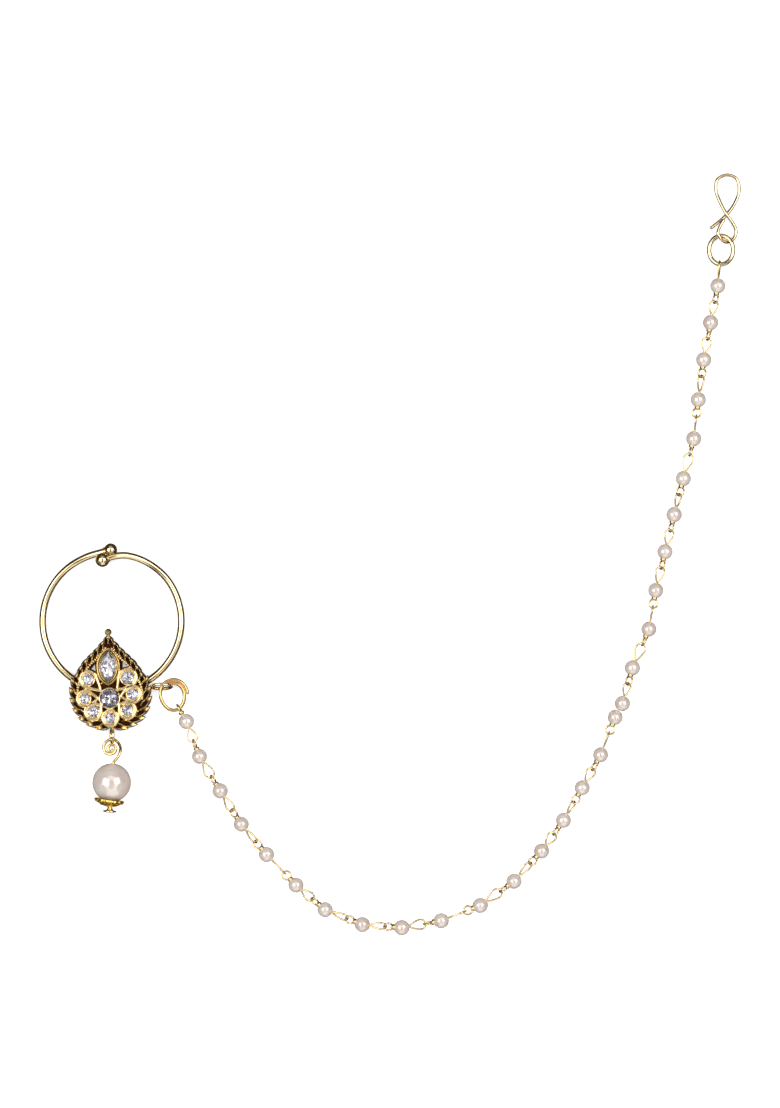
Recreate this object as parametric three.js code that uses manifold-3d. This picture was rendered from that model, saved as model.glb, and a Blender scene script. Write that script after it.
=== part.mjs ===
// A nath: a nose hoop with a stone-set plaque soldered across its foot, a pearl drop under the
// plaque, and a chain of small pearls that ends in a ring and a wire hook for the hair.
// The whole piece lies flat on a surface. Millimetres, +X to the right, +Y from the plaque up
// to the gap of the hoop, +Z up off the surface.
//
// Every place below is measured from the centre of the hoop, with Z from the surface. The
// last lines move the whole piece so that its origin is the middle of its own outline.
import * as THREE from "three";
import { mergeVertices } from "three/addons/utils/BufferGeometryUtils.js";
import Module from "manifold-3d";

const wasm = await Module();
wasm.setup();

// ---- driving dimensions ---------------------------------------------------------------

const GAP = 0.2;                  // air between neighbouring pieces
const SLIVER = 0.02;              // edges finer than this are dropped where solids join

const HOOP_OUTER = 38;            // over the wire
const HOOP_WIRE = 1.75;
const BACK_BALL = { x: -0.3, y: 18.7, diameter: 3.4 };    // end of the left half
const FRONT_BALL = { x: -2.3, y: 16.05, z: 3.85, diameter: 3.65 };  // end of the right half

// The plaque, from its tip down: half its width over the leaves at each height.
const PLAQUE_OUTLINE = [
  { y: -3.1, half: 0.5 },
  { y: -5.0, half: 2.2 },
  { y: -7.6, half: 4.5 },
  { y: -10.2, half: 7.1 },
  { y: -12.8, half: 8.8 },
  { y: -15.4, half: 10.2 },
  { y: -18.0, half: 10.8 },
  { y: -20.6, half: 10.6 },
  { y: -23.2, half: 9.8 },
  { y: -25.8, half: 8.1 },
  { y: -27.6, half: 5.4 },
  { y: -28.7, half: 2.0 },
];
const PLAQUE_TIP_X = -0.9;        // its centre line leans a little
const PLAQUE_FOOT_X = 0.0;
const PLAQUE_BACK = 0.9;          // height of its flat back above the surface
const PLAQUE_FLOOR = 2.5;         // height of the sunk ground between the stones
const LEAVES_A_SIDE = 12;
const LEAF = { length: 3.7, width: 2.3, rise: 1.0, splay: 26 };
const FINIAL = { x: -0.9, y: -2.7, diameter: 1.6 };
const WINDOWS = [                 // see-through gaps beside the marquise stone
  { name: "right", corners: [[2.6, -9.6], [5.2, -12.9], [2.7, -13.2]] },
  { name: "left", corners: [[-4.2, -10.9], [-4.0, -13.5], [-6.2, -13.1]] },
];

const MARQUISE = { x: -0.85, y: -11.75, width: 4.2, length: 7.8 };
const CENTRE_STONE = { x: -0.5, y: -20.0, diameter: 5.2 };
const SIDE_STONES = [
  { place: "top_left", x: -6.0, y: -15.1, diameter: 2.9 },
  { place: "top_right", x: 4.2, y: -14.7, diameter: 3.3 },
  { place: "left", x: -6.9, y: -20.1, diameter: 2.7 },
  { place: "right", x: 5.5, y: -18.9, diameter: 2.9 },
  { place: "low_left", x: -4.8, y: -23.5, diameter: 2.9 },
  { place: "low_right", x: 4.2, y: -23.1, diameter: 2.9 },
  { place: "foot", x: -0.3, y: -25.2, diameter: 2.7 },
];
const STONE_GIRDLE = 3.2;         // height of every stone's widest line
const BEZEL_WALL = 0.45;
const BEZEL_TOP = 3.5;

const SIDE_LOOP = { x: 13.0, y: -16.95, z: 2.4, half: 2.6, rise: 1.9, lean: 70, wire: 0.8 };
const FOOT_LOOP = { x: 0.13, y: -29.75, z: 2.6, radius: 1.75, turn: 13, wire: 0.7 };

const DROP_PEARL = { x: 0.2, y: -41.9, diameter: 10, bore: 1.3 };
const DROP_LEAN = 4;              // degrees that the drop's pin leans to the left
const CAP_LEAN = 8;
const CAP = { radius: 5.15, rim: 3.85, slack: 0.5, wall: 0.4, hole: 1.6 };
const PIN = { wire: 0.6, head: 3.5, headAt: 7.25, headThick: 0.55 };

const CHAIN_RING = { x: 16.1, y: -19.65, z: 1.54, halfWidth: 2.85, halfHeight: 3.55, wire: 0.85 };
const CHAIN_RING_LAP = 0.92;      // how far the lapped end stands outside the first turn
const END_RING = { x: 159.1, y: 97.0, z: 1.31, halfWidth: 3.1, halfHeight: 3.75, wire: 1.1 };
const HOOK_WIRE = 0.8;

const BEAD = { diameter: 4, bore: 1.0 };
const LINK_WIRE = 0.5;
const SMALL_EYE = 1.15;           // radius of a link's small eye, to the middle of its wire
const SMALL_EYE_AT = 3.5;         // its centre, from the middle of the bead
const LONG_EYE = 1.25;            // half the width of a link's long eye
const THROAT = { from: 2.12, to: 2.62, radius: 0.6 };
const PAIR = 17;                  // this bead and the next share one link

// Where each bead of the chain lies, from the chain ring to the end ring, and how far the
// long eye beyond it is turned up on edge, in degrees.
const BEADS = [
  { x: 19.5, y: -26.1, turn: 10 }, { x: 22.9, y: -35.2, turn: 15 },
  { x: 28.3, y: -44.2, turn: 35 }, { x: 33.8, y: -52.9, turn: 55 },
  { x: 40.4, y: -60.8, turn: 85 }, { x: 48.1, y: -68.8, turn: 25 },
  { x: 55.7, y: -75.2, turn: 50 }, { x: 65.4, y: -79.1, turn: 45 },
  { x: 75.7, y: -79.9, turn: 5 }, { x: 86.0, y: -78.1, turn: 85 },
  { x: 96.2, y: -74.1, turn: 15 }, { x: 105.0, y: -67.8, turn: 50 },
  { x: 112.2, y: -59.9, turn: 20 }, { x: 117.9, y: -51.9, turn: 60 },
  { x: 122.8, y: -43.4, turn: 20 }, { x: 127.6, y: -34.8, turn: 85 },
  { x: 131.4, y: -25.0, turn: 0 }, { x: 133.3, y: -21.4, turn: 40 },
  { x: 135.9, y: -12.1, turn: 10 }, { x: 140.2, y: -2.0, turn: 85 },
  { x: 142.0, y: 8.1, turn: 25 }, { x: 144.4, y: 18.2, turn: 20 },
  { x: 146.8, y: 27.9, turn: 50 }, { x: 149.2, y: 37.3, turn: 10 },
  { x: 151.9, y: 47.7, turn: 85 }, { x: 153.1, y: 57.9, turn: 50 },
  { x: 154.5, y: 68.3, turn: 15 }, { x: 156.3, y: 78.0, turn: 25 },
  { x: 158.2, y: 87.6, turn: 80 },
];
const LINK_NODES = [[1, 7], [8, 14], [15, 22], [23, 29]];   // first and last bead of each

// The hair hook's wire, from its free end, over its own crossing, round the large bow and
// back through the end ring.
const HOOK_ROUTE = [
  [156.5, 102.8, 0.4], [158.4, 104.3, 0.4], [160.6, 106.3, 0.4], [162.8, 109.4, 0.4],
  [163.9, 112.7, 0.4], [163.2, 115.7, 0.4], [160.8, 116.7, 0.4], [158.3, 115.6, 0.4],
  [157.8, 112.9, 0.4], [159.0, 109.3, 0.9], [160.6, 106.2, 1.45], [162.3, 103.9, 0.9],
  [163.1, 101.9, 0.5], [162.5, 100.1, 0.45], [161.6, 99.4, 0.5], [160.3, 99.1, 1.2],
  [158.9, 100.0, 2.2], [158.2, 101.4, 2.35], [158.8, 103.2, 1.9], [159.8, 104.8, 1.6],
];

// ---- finishes --------------------------------------------------------------------------

const metal = (color, roughness) =>
  new THREE.MeshStandardMaterial({ color, roughness, metalness: 1 });
const antiqueGold = metal(0xc9ae78, 0.3);
const orangeGold = metal(0xe0ac5c, 0.25);
const paleGold = metal(0xe3cf95, 0.25);
const brightGold = metal(0xe8c35a, 0.3);
const pearlWhite = new THREE.MeshStandardMaterial({ color: 0xeee6df, roughness: 0.25 });
const crystal = new THREE.MeshStandardMaterial({ color: 0xe9e8ee, roughness: 0.05 });

// ---- making and joining solids ---------------------------------------------------------

const radians = THREE.MathUtils.degToRad;

/** Turn a closed geometry into a solid that can be joined or cut. */
function solid(geometry) {
  const bare = geometry.index ? geometry.toNonIndexed() : geometry.clone();
  bare.deleteAttribute("normal");
  bare.deleteAttribute("uv");
  const welded = mergeVertices(bare, 1e-4);
  const mesh = new wasm.Mesh({
    numProp: 3,
    vertProperties: Float32Array.from(welded.attributes.position.array),
    triVerts: Uint32Array.from(welded.index.array),
  });
  mesh.merge();
  return new wasm.Manifold(mesh);
}

/** Give a solid back as a geometry. */
function geometryOf(body) {
  const mesh = body.getMesh();
  const geometry = new THREE.BufferGeometry();
  geometry.setAttribute("position", new THREE.BufferAttribute(mesh.vertProperties, 3));
  geometry.setIndex(new THREE.BufferAttribute(mesh.triVerts, 1));
  geometry.computeVertexNormals();
  return geometry;
}

/** Join geometries, and drop the slivers that are finer than the tolerance. */
const joined = (geometries) =>
  geometries.map(solid).reduce((a, b) => a.add(b)).simplify(SLIVER);

/** A closed shape with the given number of sides, for the section of a wire. */
function sectionOf(diameter, sides) {
  const corners = [];
  for (let i = 0; i < sides; i += 1) {
    const angle = (i / sides) * 2 * Math.PI;
    const radius = diameter / 2;
    corners.push(new THREE.Vector2(radius * Math.cos(angle), radius * Math.sin(angle)));
  }
  return new THREE.Shape(corners);
}

/** A wire along a route of points, with flat ends. */
function wireAlong(points, diameter, sides, steps) {
  const path = new THREE.CatmullRomCurve3(points, false, "centripetal");
  const section = sectionOf(diameter, sides);
  return new THREE.ExtrudeGeometry(section, { extrudePath: path, steps, bevelEnabled: false });
}

/** A closed ring of wire through points that place(angle) gives, angle in radians. */
function wireRing(place, diameter, sides, steps) {
  const middle = new THREE.Vector3();
  const spots = [];
  for (let i = 0; i < steps; i += 1) {
    spots.push(place((i / steps) * 2 * Math.PI));
    middle.addScaledVector(spots[i], 1 / steps);
  }
  const normal = spots[0].clone().sub(middle);
  normal.cross(spots[Math.round(steps / 4)].clone().sub(middle)).normalize();
  const positions = [];
  for (let i = 0; i < steps; i += 1) {
    const along = spots[(i + 1) % steps].clone().sub(spots[(i + steps - 1) % steps]).normalize();
    const out = along.clone().cross(normal);
    for (let j = 0; j < sides; j += 1) {
      const angle = (j / sides) * 2 * Math.PI;
      const spot = spots[i].clone();
      spot.addScaledVector(out, (diameter / 2) * Math.cos(angle));
      spot.addScaledVector(normal, (diameter / 2) * Math.sin(angle));
      positions.push(spot.x, spot.y, spot.z);
    }
  }
  const index = [];
  for (let i = 0; i < steps; i += 1) {
    for (let j = 0; j < sides; j += 1) {
      const a = i * sides + j;
      const b = i * sides + ((j + 1) % sides);
      const c = ((i + 1) % steps) * sides + ((j + 1) % sides);
      const d = ((i + 1) % steps) * sides + j;
      index.push(a, c, b, a, d, c);
    }
  }
  const geometry = new THREE.BufferGeometry();
  geometry.setAttribute("position", new THREE.Float32BufferAttribute(positions, 3));
  geometry.setIndex(index);
  return geometry;
}

/** A straight prism from one height to another over an outline of Vector2 corners. */
function prism(corners, bottom, top) {
  const shape = new THREE.Shape(corners);
  const geometry = new THREE.ExtrudeGeometry(shape, { depth: top - bottom, bevelEnabled: false });
  return geometry.translate(0, 0, bottom);
}

/** A short rod between two points. */
function rod(from, to, radius, sides) {
  const along = to.clone().sub(from);
  const geometry = new THREE.CylinderGeometry(radius, radius, along.length(), sides);
  const turn = new THREE.Quaternion();
  turn.setFromUnitVectors(new THREE.Vector3(0, 1, 0), along.clone().normalize());
  const middle = from.clone().add(to).multiplyScalar(0.5);
  return geometry.applyQuaternion(turn).translate(middle.x, middle.y, middle.z);
}

const ball = (spot, diameter, across, down) =>
  new THREE.SphereGeometry(diameter / 2, across, down).translate(spot.x, spot.y, spot.z);

const root = new THREE.Group();

function addPiece(name, geometry, material) {
  const mesh = new THREE.Mesh(geometry, material);
  mesh.name = name;
  root.add(mesh);
  return mesh;
}

// ---- stones ----------------------------------------------------------------------------

/** Outline of a round stone, larger than its own by grow all round. */
function roundOutline(stone, grow, sides) {
  const corners = [];
  for (let i = 0; i < sides; i += 1) {
    const angle = ((i + 0.5) / sides) * 2 * Math.PI;
    const radius = stone.diameter / 2 + grow;
    const x = stone.x + radius * Math.cos(angle);
    corners.push(new THREE.Vector2(x, stone.y + radius * Math.sin(angle)));
  }
  return corners;
}

/** Outline of the marquise: two equal arcs that meet in a point at each end. */
function marquiseOutline(grow) {
  const half = MARQUISE.length / 2 + grow;
  const wide = MARQUISE.width / 2 + grow;
  const radius = (half * half + wide * wide) / (2 * wide);
  const sweep = Math.asin(half / radius);
  const steps = 6;
  const corners = [];
  for (const side of [1, -1]) {
    for (let i = 0; i < steps; i += 1) {
      const angle = -sweep + (2 * sweep * i) / steps;
      const x = side * (radius * Math.cos(angle) - (radius - wide));
      const y = side * radius * Math.sin(angle);
      corners.push(new THREE.Vector2(MARQUISE.x + x, MARQUISE.y + y));
    }
  }
  return corners;
}

/** A cut stone over an outline: pointed below the girdle, with a flat table on top. */
function cutStone(corners, centre, depth, crown) {
  const count = corners.length;
  const table = 0.6;
  const positions = [];
  for (const corner of corners) positions.push(corner.x, corner.y, STONE_GIRDLE);
  for (const corner of corners) {
    const x = centre.x + (corner.x - centre.x) * table;
    const y = centre.y + (corner.y - centre.y) * table;
    positions.push(x, y, STONE_GIRDLE + crown);
  }
  positions.push(centre.x, centre.y, STONE_GIRDLE - depth);
  positions.push(centre.x, centre.y, STONE_GIRDLE + crown);
  const index = [];
  for (let i = 0; i < count; i += 1) {
    const next = (i + 1) % count;
    index.push(i, next, count + next, i, count + next, count + i);
    index.push(next, i, 2 * count);
    index.push(count + i, count + next, 2 * count + 1);
  }
  const geometry = new THREE.BufferGeometry();
  geometry.setAttribute("position", new THREE.Float32BufferAttribute(positions, 3));
  geometry.setIndex(index);
  return geometry;
}

function addStones() {
  const marquise = cutStone(marquiseOutline(0), MARQUISE, 0.75, 0.85);
  addPiece("marquise_stone", marquise, crystal);
  const centre = cutStone(roundOutline(CENTRE_STONE, 0, 12), CENTRE_STONE, 0.75, 0.9);
  addPiece("centre_stone", centre, crystal);
  for (const stone of SIDE_STONES) {
    const shape = cutStone(roundOutline(stone, 0, 8), stone, 0.65, 0.6);
    addPiece(`side_stone_${stone.place}`, shape, crystal);
  }
}

// ---- hoop and plaque, soldered into one solid --------------------------------------------

/** The hoop's wire: one turn, open at the top, where its ball ends pass each other. */
function hoopParts() {
  const radius = (HOOP_OUTER - HOOP_WIRE) / 2;
  const low = HOOP_WIRE / 2 + 0.05;    // it rests with the drop and the chain, not alone
  const backBall = new THREE.Vector3(BACK_BALL.x, BACK_BALL.y, BACK_BALL.diameter / 2);
  const frontBall = new THREE.Vector3(FRONT_BALL.x, FRONT_BALL.y, FRONT_BALL.z);
  const route = [backBall];
  for (let angle = 112; angle <= 400; angle += 18) {
    const x = radius * Math.cos(radians(angle));
    route.push(new THREE.Vector3(x, radius * Math.sin(radians(angle)), low));
  }
  route.push(new THREE.Vector3(9.2, 15.4, 1.5));
  route.push(new THREE.Vector3(4.2, 17.2, 2.9));
  route.push(new THREE.Vector3(0.6, 17.0, 3.75));
  route.push(frontBall);
  return [
    wireAlong(route, HOOP_WIRE, 8, 40),
    ball(backBall, BACK_BALL.diameter, 10, 7),
    ball(frontBall, FRONT_BALL.diameter, 10, 7),
  ];
}

const plaqueCentre = (y) => {
  const top = PLAQUE_OUTLINE[0].y;
  const foot = PLAQUE_OUTLINE.at(-1).y;
  return PLAQUE_TIP_X + ((top - y) / (top - foot)) * (PLAQUE_FOOT_X - PLAQUE_TIP_X);
};

/** One side of the plaque's outline as a curve from its foot to its tip; side is 1 or -1. */
function plaqueSide(side) {
  const points = [];
  for (const row of [...PLAQUE_OUTLINE].reverse()) {
    points.push(new THREE.Vector3(plaqueCentre(row.y) + side * row.half, row.y, 0));
  }
  return new THREE.CatmullRomCurve3(points, false, "centripetal");
}

/** The flat plate under the leaves: the same rows, drawn in from the leaves' tips. */
function plateOutline() {
  const inset = 0.35 * LEAF.width;
  const narrowest = 0.3;
  const right = PLAQUE_OUTLINE.map((row) => {
    const half = Math.max(row.half - inset, narrowest);
    return new THREE.Vector2(plaqueCentre(row.y) + half, row.y);
  });
  const left = PLAQUE_OUTLINE.map((row) => {
    const half = Math.max(row.half - inset, narrowest);
    return new THREE.Vector2(plaqueCentre(row.y) - half, row.y);
  });
  return [...right.reverse(), ...left];
}

/** One laurel leaf, pointed at both ends, with a ridge down its middle. */
function leaf(spot, heading, scale) {
  const half = (LEAF.length / 2) * scale;
  const wide = (LEAF.width / 2) * scale;
  const low = 0;
  const shoulder = 1.4;
  const ridge = shoulder + LEAF.rise;
  const outline = [[-half, 0], [-0.1 * half, -wide], [half, 0], [-0.1 * half, wide]];
  const positions = [];
  for (const [x, y] of outline) positions.push(x, y, low);
  for (const [x, y] of outline) positions.push(x, y, shoulder);
  positions.push(-0.35 * half, 0, ridge, 0.3 * half, 0, ridge);
  const index = [0, 2, 1, 0, 3, 2];
  for (let i = 0; i < 4; i += 1) {
    const next = (i + 1) % 4;
    index.push(i, next, 4 + next, i, 4 + next, 4 + i);
  }
  index.push(4, 5, 8, 5, 9, 8, 5, 6, 9, 6, 7, 9, 7, 8, 9, 7, 4, 8);
  const geometry = new THREE.BufferGeometry();
  geometry.setAttribute("position", new THREE.Float32BufferAttribute(positions, 3));
  geometry.setIndex(index);
  return geometry.rotateZ(heading).translate(spot.x, spot.y, PLAQUE_BACK);
}

function leafParts() {
  const parts = [];
  for (const side of [1, -1]) {
    const curve = plaqueSide(side);
    for (let i = 0; i < LEAVES_A_SIDE; i += 1) {
      const at = (i + 0.4) / LEAVES_A_SIDE;
      const spot = curve.getPointAt(at);
      const along = curve.getTangentAt(at);
      const inset = 0.42 * LEAF.width;
      spot.x -= side * along.y * inset;
      spot.y += side * along.x * inset;
      const scale = at < 0.55 ? 1 : 1 - 0.55 * (at - 0.55);
      const heading = Math.atan2(along.y, along.x) - side * radians(LEAF.splay);
      parts.push(leaf(spot, heading, scale));
    }
  }
  return parts;
}

function bezelParts() {
  const parts = [prism(marquiseOutline(GAP + BEZEL_WALL), PLAQUE_BACK, BEZEL_TOP)];
  for (const stone of [CENTRE_STONE, ...SIDE_STONES]) {
    parts.push(prism(roundOutline(stone, GAP + BEZEL_WALL, 12), PLAQUE_BACK, BEZEL_TOP));
  }
  return parts;
}

/** The wells that the stones sit in, open at the top. */
function stoneWells() {
  const top = BEZEL_TOP + 5;
  const wells = [prism(marquiseOutline(GAP), STONE_GIRDLE - 0.95, top)];
  wells.push(prism(roundOutline(CENTRE_STONE, GAP, 12), STONE_GIRDLE - 0.95, top));
  for (const stone of SIDE_STONES) {
    wells.push(prism(roundOutline(stone, GAP, 8), STONE_GIRDLE - 0.85, top));
  }
  return wells;
}

/** The loop on the plaque's right edge, standing on its side, that holds the chain ring. */
function sideLoop() {
  const place = (angle) => {
    const up = SIDE_LOOP.rise * Math.sin(angle);
    return new THREE.Vector3(
      SIDE_LOOP.x + SIDE_LOOP.half * Math.cos(angle),
      SIDE_LOOP.y + up * Math.cos(radians(SIDE_LOOP.lean)),
      SIDE_LOOP.z + up * Math.sin(radians(SIDE_LOOP.lean)),
    );
  };
  return wireRing(place, SIDE_LOOP.wire, 6, 12);
}

/** The round loop under the plaque's foot, on edge, that holds the drop. */
function footLoop() {
  const place = (angle) => {
    const across = FOOT_LOOP.radius * Math.sin(angle);
    return new THREE.Vector3(
      FOOT_LOOP.x + across * Math.sin(radians(FOOT_LOOP.turn)),
      FOOT_LOOP.y + FOOT_LOOP.radius * Math.cos(angle),
      FOOT_LOOP.z + across * Math.cos(radians(FOOT_LOOP.turn)),
    );
  };
  return wireRing(place, FOOT_LOOP.wire, 6, 12);
}

function addHoopAndPlaque() {
  let body = joined([
    prism(plateOutline(), PLAQUE_BACK, PLAQUE_FLOOR),
    ...leafParts(),
    ...bezelParts(),
    ball({ x: FINIAL.x, y: FINIAL.y, z: 2.2 }, FINIAL.diameter, 8, 6),
  ]);
  const windows = WINDOWS.map(({ corners }) => corners.map(([x, y]) => new THREE.Vector2(x, y)));
  for (const well of stoneWells()) body = body.subtract(solid(well));
  for (const corners of windows) {
    if (THREE.ShapeUtils.isClockWise(corners)) corners.reverse();
    body = body.subtract(solid(prism(corners, 0, 10)));
  }
  body = body.add(joined([...hoopParts(), sideLoop(), footLoop()])).simplify(SLIVER);
  addPiece("hoop_and_plaque", geometryOf(body), antiqueGold);
}

// ---- pearls ----------------------------------------------------------------------------

/** A bored bead about +Y: its outside and its bore in one closed profile. */
function boredBead(diameter, bore, around, rows) {
  const radius = diameter / 2;
  const start = Math.asin(bore / diameter);
  const profile = [];
  for (let i = 0; i <= rows; i += 1) {
    const angle = start + ((Math.PI - 2 * start) * i) / rows;
    profile.push(new THREE.Vector2(radius * Math.sin(angle), -radius * Math.cos(angle)));
  }
  profile.push(profile[0].clone());
  return new THREE.LatheGeometry(profile, around);
}

/** Turn a mesh made about +Y to lie along a direction. */
const layAlong = (mesh, direction) =>
  mesh.quaternion.setFromUnitVectors(new THREE.Vector3(0, 1, 0), direction);

// ---- the drop --------------------------------------------------------------------------

const dropCentre = new THREE.Vector3(DROP_PEARL.x, DROP_PEARL.y, DROP_PEARL.diameter / 2);
const leaning = (degrees) =>
  new THREE.Vector3(-Math.sin(radians(degrees)), -Math.cos(radians(degrees)), 0);

/** The head pin: a flat head, a straight shank and a coiled eye through the foot loop. */
function addDropPin() {
  const down = leaning(DROP_LEAN);
  const at = (distance) => dropCentre.clone().addScaledVector(down, distance);
  const shank = rod(at(-5.2), at(PIN.headAt), PIN.wire / 2, 8);
  const head = rod(at(PIN.headAt), at(PIN.headAt + PIN.headThick), PIN.head / 2, 12);
  const eye = [
    at(-5.0), new THREE.Vector3(1.3, -35.9, 4.9), new THREE.Vector3(2.2, -34.5, 4.7),
    new THREE.Vector3(2.4, -32.9, 4.0), new THREE.Vector3(1.5, -31.3, 3.0),
    new THREE.Vector3(0.15, -30.75, 2.6), new THREE.Vector3(-1.3, -31.3, 2.6),
    new THREE.Vector3(-2.1, -32.7, 2.7), new THREE.Vector3(-1.6, -34.1, 2.9),
    new THREE.Vector3(-0.2, -34.8, 3.1), new THREE.Vector3(1.1, -34.2, 3.2),
    new THREE.Vector3(1.3, -33.0, 3.2), new THREE.Vector3(0.4, -32.6, 3.2),
  ];
  const pin = joined([shank, head, wireAlong(eye, PIN.wire, 6, 26)]);
  addPiece("drop_pin", geometryOf(pin), paleGold);
}

function addDropPearl() {
  const bead = boredBead(DROP_PEARL.diameter, DROP_PEARL.bore, 16, 8);
  const pearl = addPiece("drop_pearl", bead, pearlWhite);
  pearl.position.copy(dropCentre);
  layAlong(pearl, leaning(DROP_LEAN).negate());
}

/** The cup under the pearl, a shallow bowl with a hole for the pin. */
function addDropCap() {
  const inner = CAP.radius;
  const outer = CAP.radius + CAP.wall;
  const rows = 4;
  const profile = [];
  for (const [radius, from, to] of [[outer, CAP.hole / 2, CAP.rim], [inner, CAP.rim, CAP.hole / 2]]) {
    for (let i = 0; i <= rows; i += 1) {
      const reach = from + ((to - from) * i) / rows;
      profile.push(new THREE.Vector2(reach, -Math.sqrt(radius * radius - reach * reach)));
    }
  }
  profile.push(profile[0].clone());
  const cap = addPiece("drop_cap", new THREE.LatheGeometry(profile, 14), brightGold);
  const down = leaning(CAP_LEAN);
  cap.position.copy(dropCentre).addScaledVector(down, CAP.slack);
  layAlong(cap, down.clone().negate());
}

// ---- rings and hook ---------------------------------------------------------------------

/** Height of the chain ring's wire over a spot: it lies a little higher at its upper left. */
const chainRingHeight = (x, y) =>
  CHAIN_RING.z + 0.093 * (-0.75 * (x - CHAIN_RING.x) + 0.66 * (y - CHAIN_RING.y));

/** The chain ring's wire at an angle swept clockwise from its first end, in degrees. */
function chainRingSpot(swept) {
  const angle = radians(120 - swept);
  const lap = CHAIN_RING_LAP * THREE.MathUtils.smoothstep(swept, 240, 355);
  const x = CHAIN_RING.x + (CHAIN_RING.halfWidth + lap) * Math.cos(angle);
  const y = CHAIN_RING.y + (CHAIN_RING.halfHeight + lap) * Math.sin(angle);
  return new THREE.Vector3(x, y, chainRingHeight(x, y));
}

function addChainRing() {
  const route = [];
  for (let swept = 0; swept <= 468; swept += 18) route.push(chainRingSpot(swept));
  addPiece("chain_ring", wireAlong(route, CHAIN_RING.wire, 6, 30), orangeGold);
}

function endRingSpot(angle) {
  const x = END_RING.halfWidth * Math.cos(angle);
  const y = END_RING.halfHeight * Math.sin(angle);
  const z = END_RING.z + 0.18 * x - 0.04 * y;
  return new THREE.Vector3(END_RING.x + x, END_RING.y + y, z);
}

function addEndRing() {
  addPiece("end_ring", wireRing(endRingSpot, END_RING.wire, 8, 20), antiqueGold);
}

function addHairHook() {
  const route = HOOK_ROUTE.map(([x, y, z]) => new THREE.Vector3(x, y, z));
  addPiece("hair_hook", wireAlong(route, HOOK_WIRE, 6, 44), antiqueGold);
}

// ---- chain of pearls ---------------------------------------------------------------------

const beadSpot = (number) => {
  const { x, y } = BEADS[number - 1];
  return new THREE.Vector3(x, y, BEAD.diameter / 2);
};

/** The direction of a bead's bore: from the bead before it to the bead after it. */
function boreAlong(number) {
  const before = beadSpot(Math.max(number - 1, 1));
  const after = beadSpot(Math.min(number + 1, BEADS.length));
  if (number === PAIR) before.copy(beadSpot(PAIR));
  if (number === PAIR + 1) after.copy(beadSpot(PAIR + 1));
  return after.sub(before).normalize();
}

function addChainPearls() {
  for (let number = 1; number <= BEADS.length; number += 1) {
    const bead = boredBead(BEAD.diameter, BEAD.bore, 10, 4);
    const name = `chain_pearl_${String(number).padStart(2, "0")}`;
    const pearl = addPiece(name, bead, pearlWhite);
    pearl.position.copy(beadSpot(number));
    layAlong(pearl, boreAlong(number));
  }
}

/** A spot of an eye: reach along its axis, wide across it in the eye's own plane. */
function eyeSpot(eye, reach, wide) {
  const flat = new THREE.Vector3(-eye.axis.y, eye.axis.x, 0).normalize();
  const up = eye.axis.clone().cross(flat);
  const spot = eye.bead.clone().addScaledVector(eye.axis, reach);
  spot.addScaledVector(flat, wide * Math.cos(radians(eye.turn)));
  return spot.addScaledVector(up, wide * Math.sin(radians(eye.turn)));
}

/** The wrapped throat from a bead to where its eye opens. */
const throat = (eye, opens) =>
  rod(eyeSpot(eye, THROAT.from, 0), eyeSpot(eye, opens, 0), THROAT.radius, 4);

/** A small round eye whose centre is at the given reach. */
function smallEye(eye, centre) {
  const route = [];
  for (let i = 0; i <= 8; i += 1) {
    const angle = radians(155 - (310 * i) / 8);
    const reach = centre + SMALL_EYE * Math.cos(angle);
    route.push(eyeSpot(eye, reach, SMALL_EYE * Math.sin(angle)));
  }
  return [throat(eye, centre - SMALL_EYE + LINK_WIRE / 2), wireAlong(route, LINK_WIRE, 4, 8)];
}

/** A long drop-shaped eye that ends at the given reach. */
function longEye(eye, end) {
  const half = [[2.3, 0.34], [3.1, 0.8], [end - 1.5, LONG_EYE], [end - 0.45, 0.95]];
  const route = half.map(([reach, wide]) => eyeSpot(eye, reach, wide));
  route.push(eyeSpot(eye, end, 0));
  for (const [reach, wide] of [...half].reverse()) route.push(eyeSpot(eye, reach, -wide));
  return [throat(eye, THROAT.to), wireAlong(route, LINK_WIRE, 4, 8)];
}

/** The wire link of one bead, or of the pair: an eye, a shank through the bore, an eye. */
function linkParts(first, last, firstNode, lastNode) {
  const start = beadSpot(first);
  const end = beadSpot(last);
  const shankFrom = start.clone().addScaledVector(boreAlong(first), -THROAT.from - GAP);
  const shankTo = end.clone().addScaledVector(boreAlong(last), THROAT.from + GAP);
  const parts = [rod(shankFrom, shankTo, LINK_WIRE / 2, 4)];

  const back = { bead: start, turn: 90 };
  let centre = SMALL_EYE_AT;
  if (first === 1) {
    const hold = chainRingSpot(180);
    hold.z += 0.22;
    back.axis = hold.sub(start);
    centre = back.axis.length();
    back.axis.normalize();
  } else {
    back.axis = beadSpot(first - 1).sub(start).normalize();
    back.turn = -(BEADS[first - 2].turn + 90);
  }
  parts.push(...smallEye(back, centre));

  const ahead = { bead: end, turn: BEADS[last - 1].turn };
  let reach = 0;
  if (last === BEADS.length) {
    const hold = endRingSpot(radians(-98));
    hold.z += 0.2;
    ahead.axis = hold.sub(end);
    reach = ahead.axis.length() + END_RING.wire / 2 + LINK_WIRE / 2 + GAP;
    ahead.axis.normalize();
  } else {
    ahead.axis = beadSpot(last + 1).sub(end);
    const hooked = last === lastNode ? LINK_WIRE + GAP : 0.6 * LINK_WIRE;
    reach = ahead.axis.length() - SMALL_EYE_AT - SMALL_EYE + hooked;
    ahead.axis.normalize();
  }
  parts.push(...longEye(ahead, reach));
  return parts;
}

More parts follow.
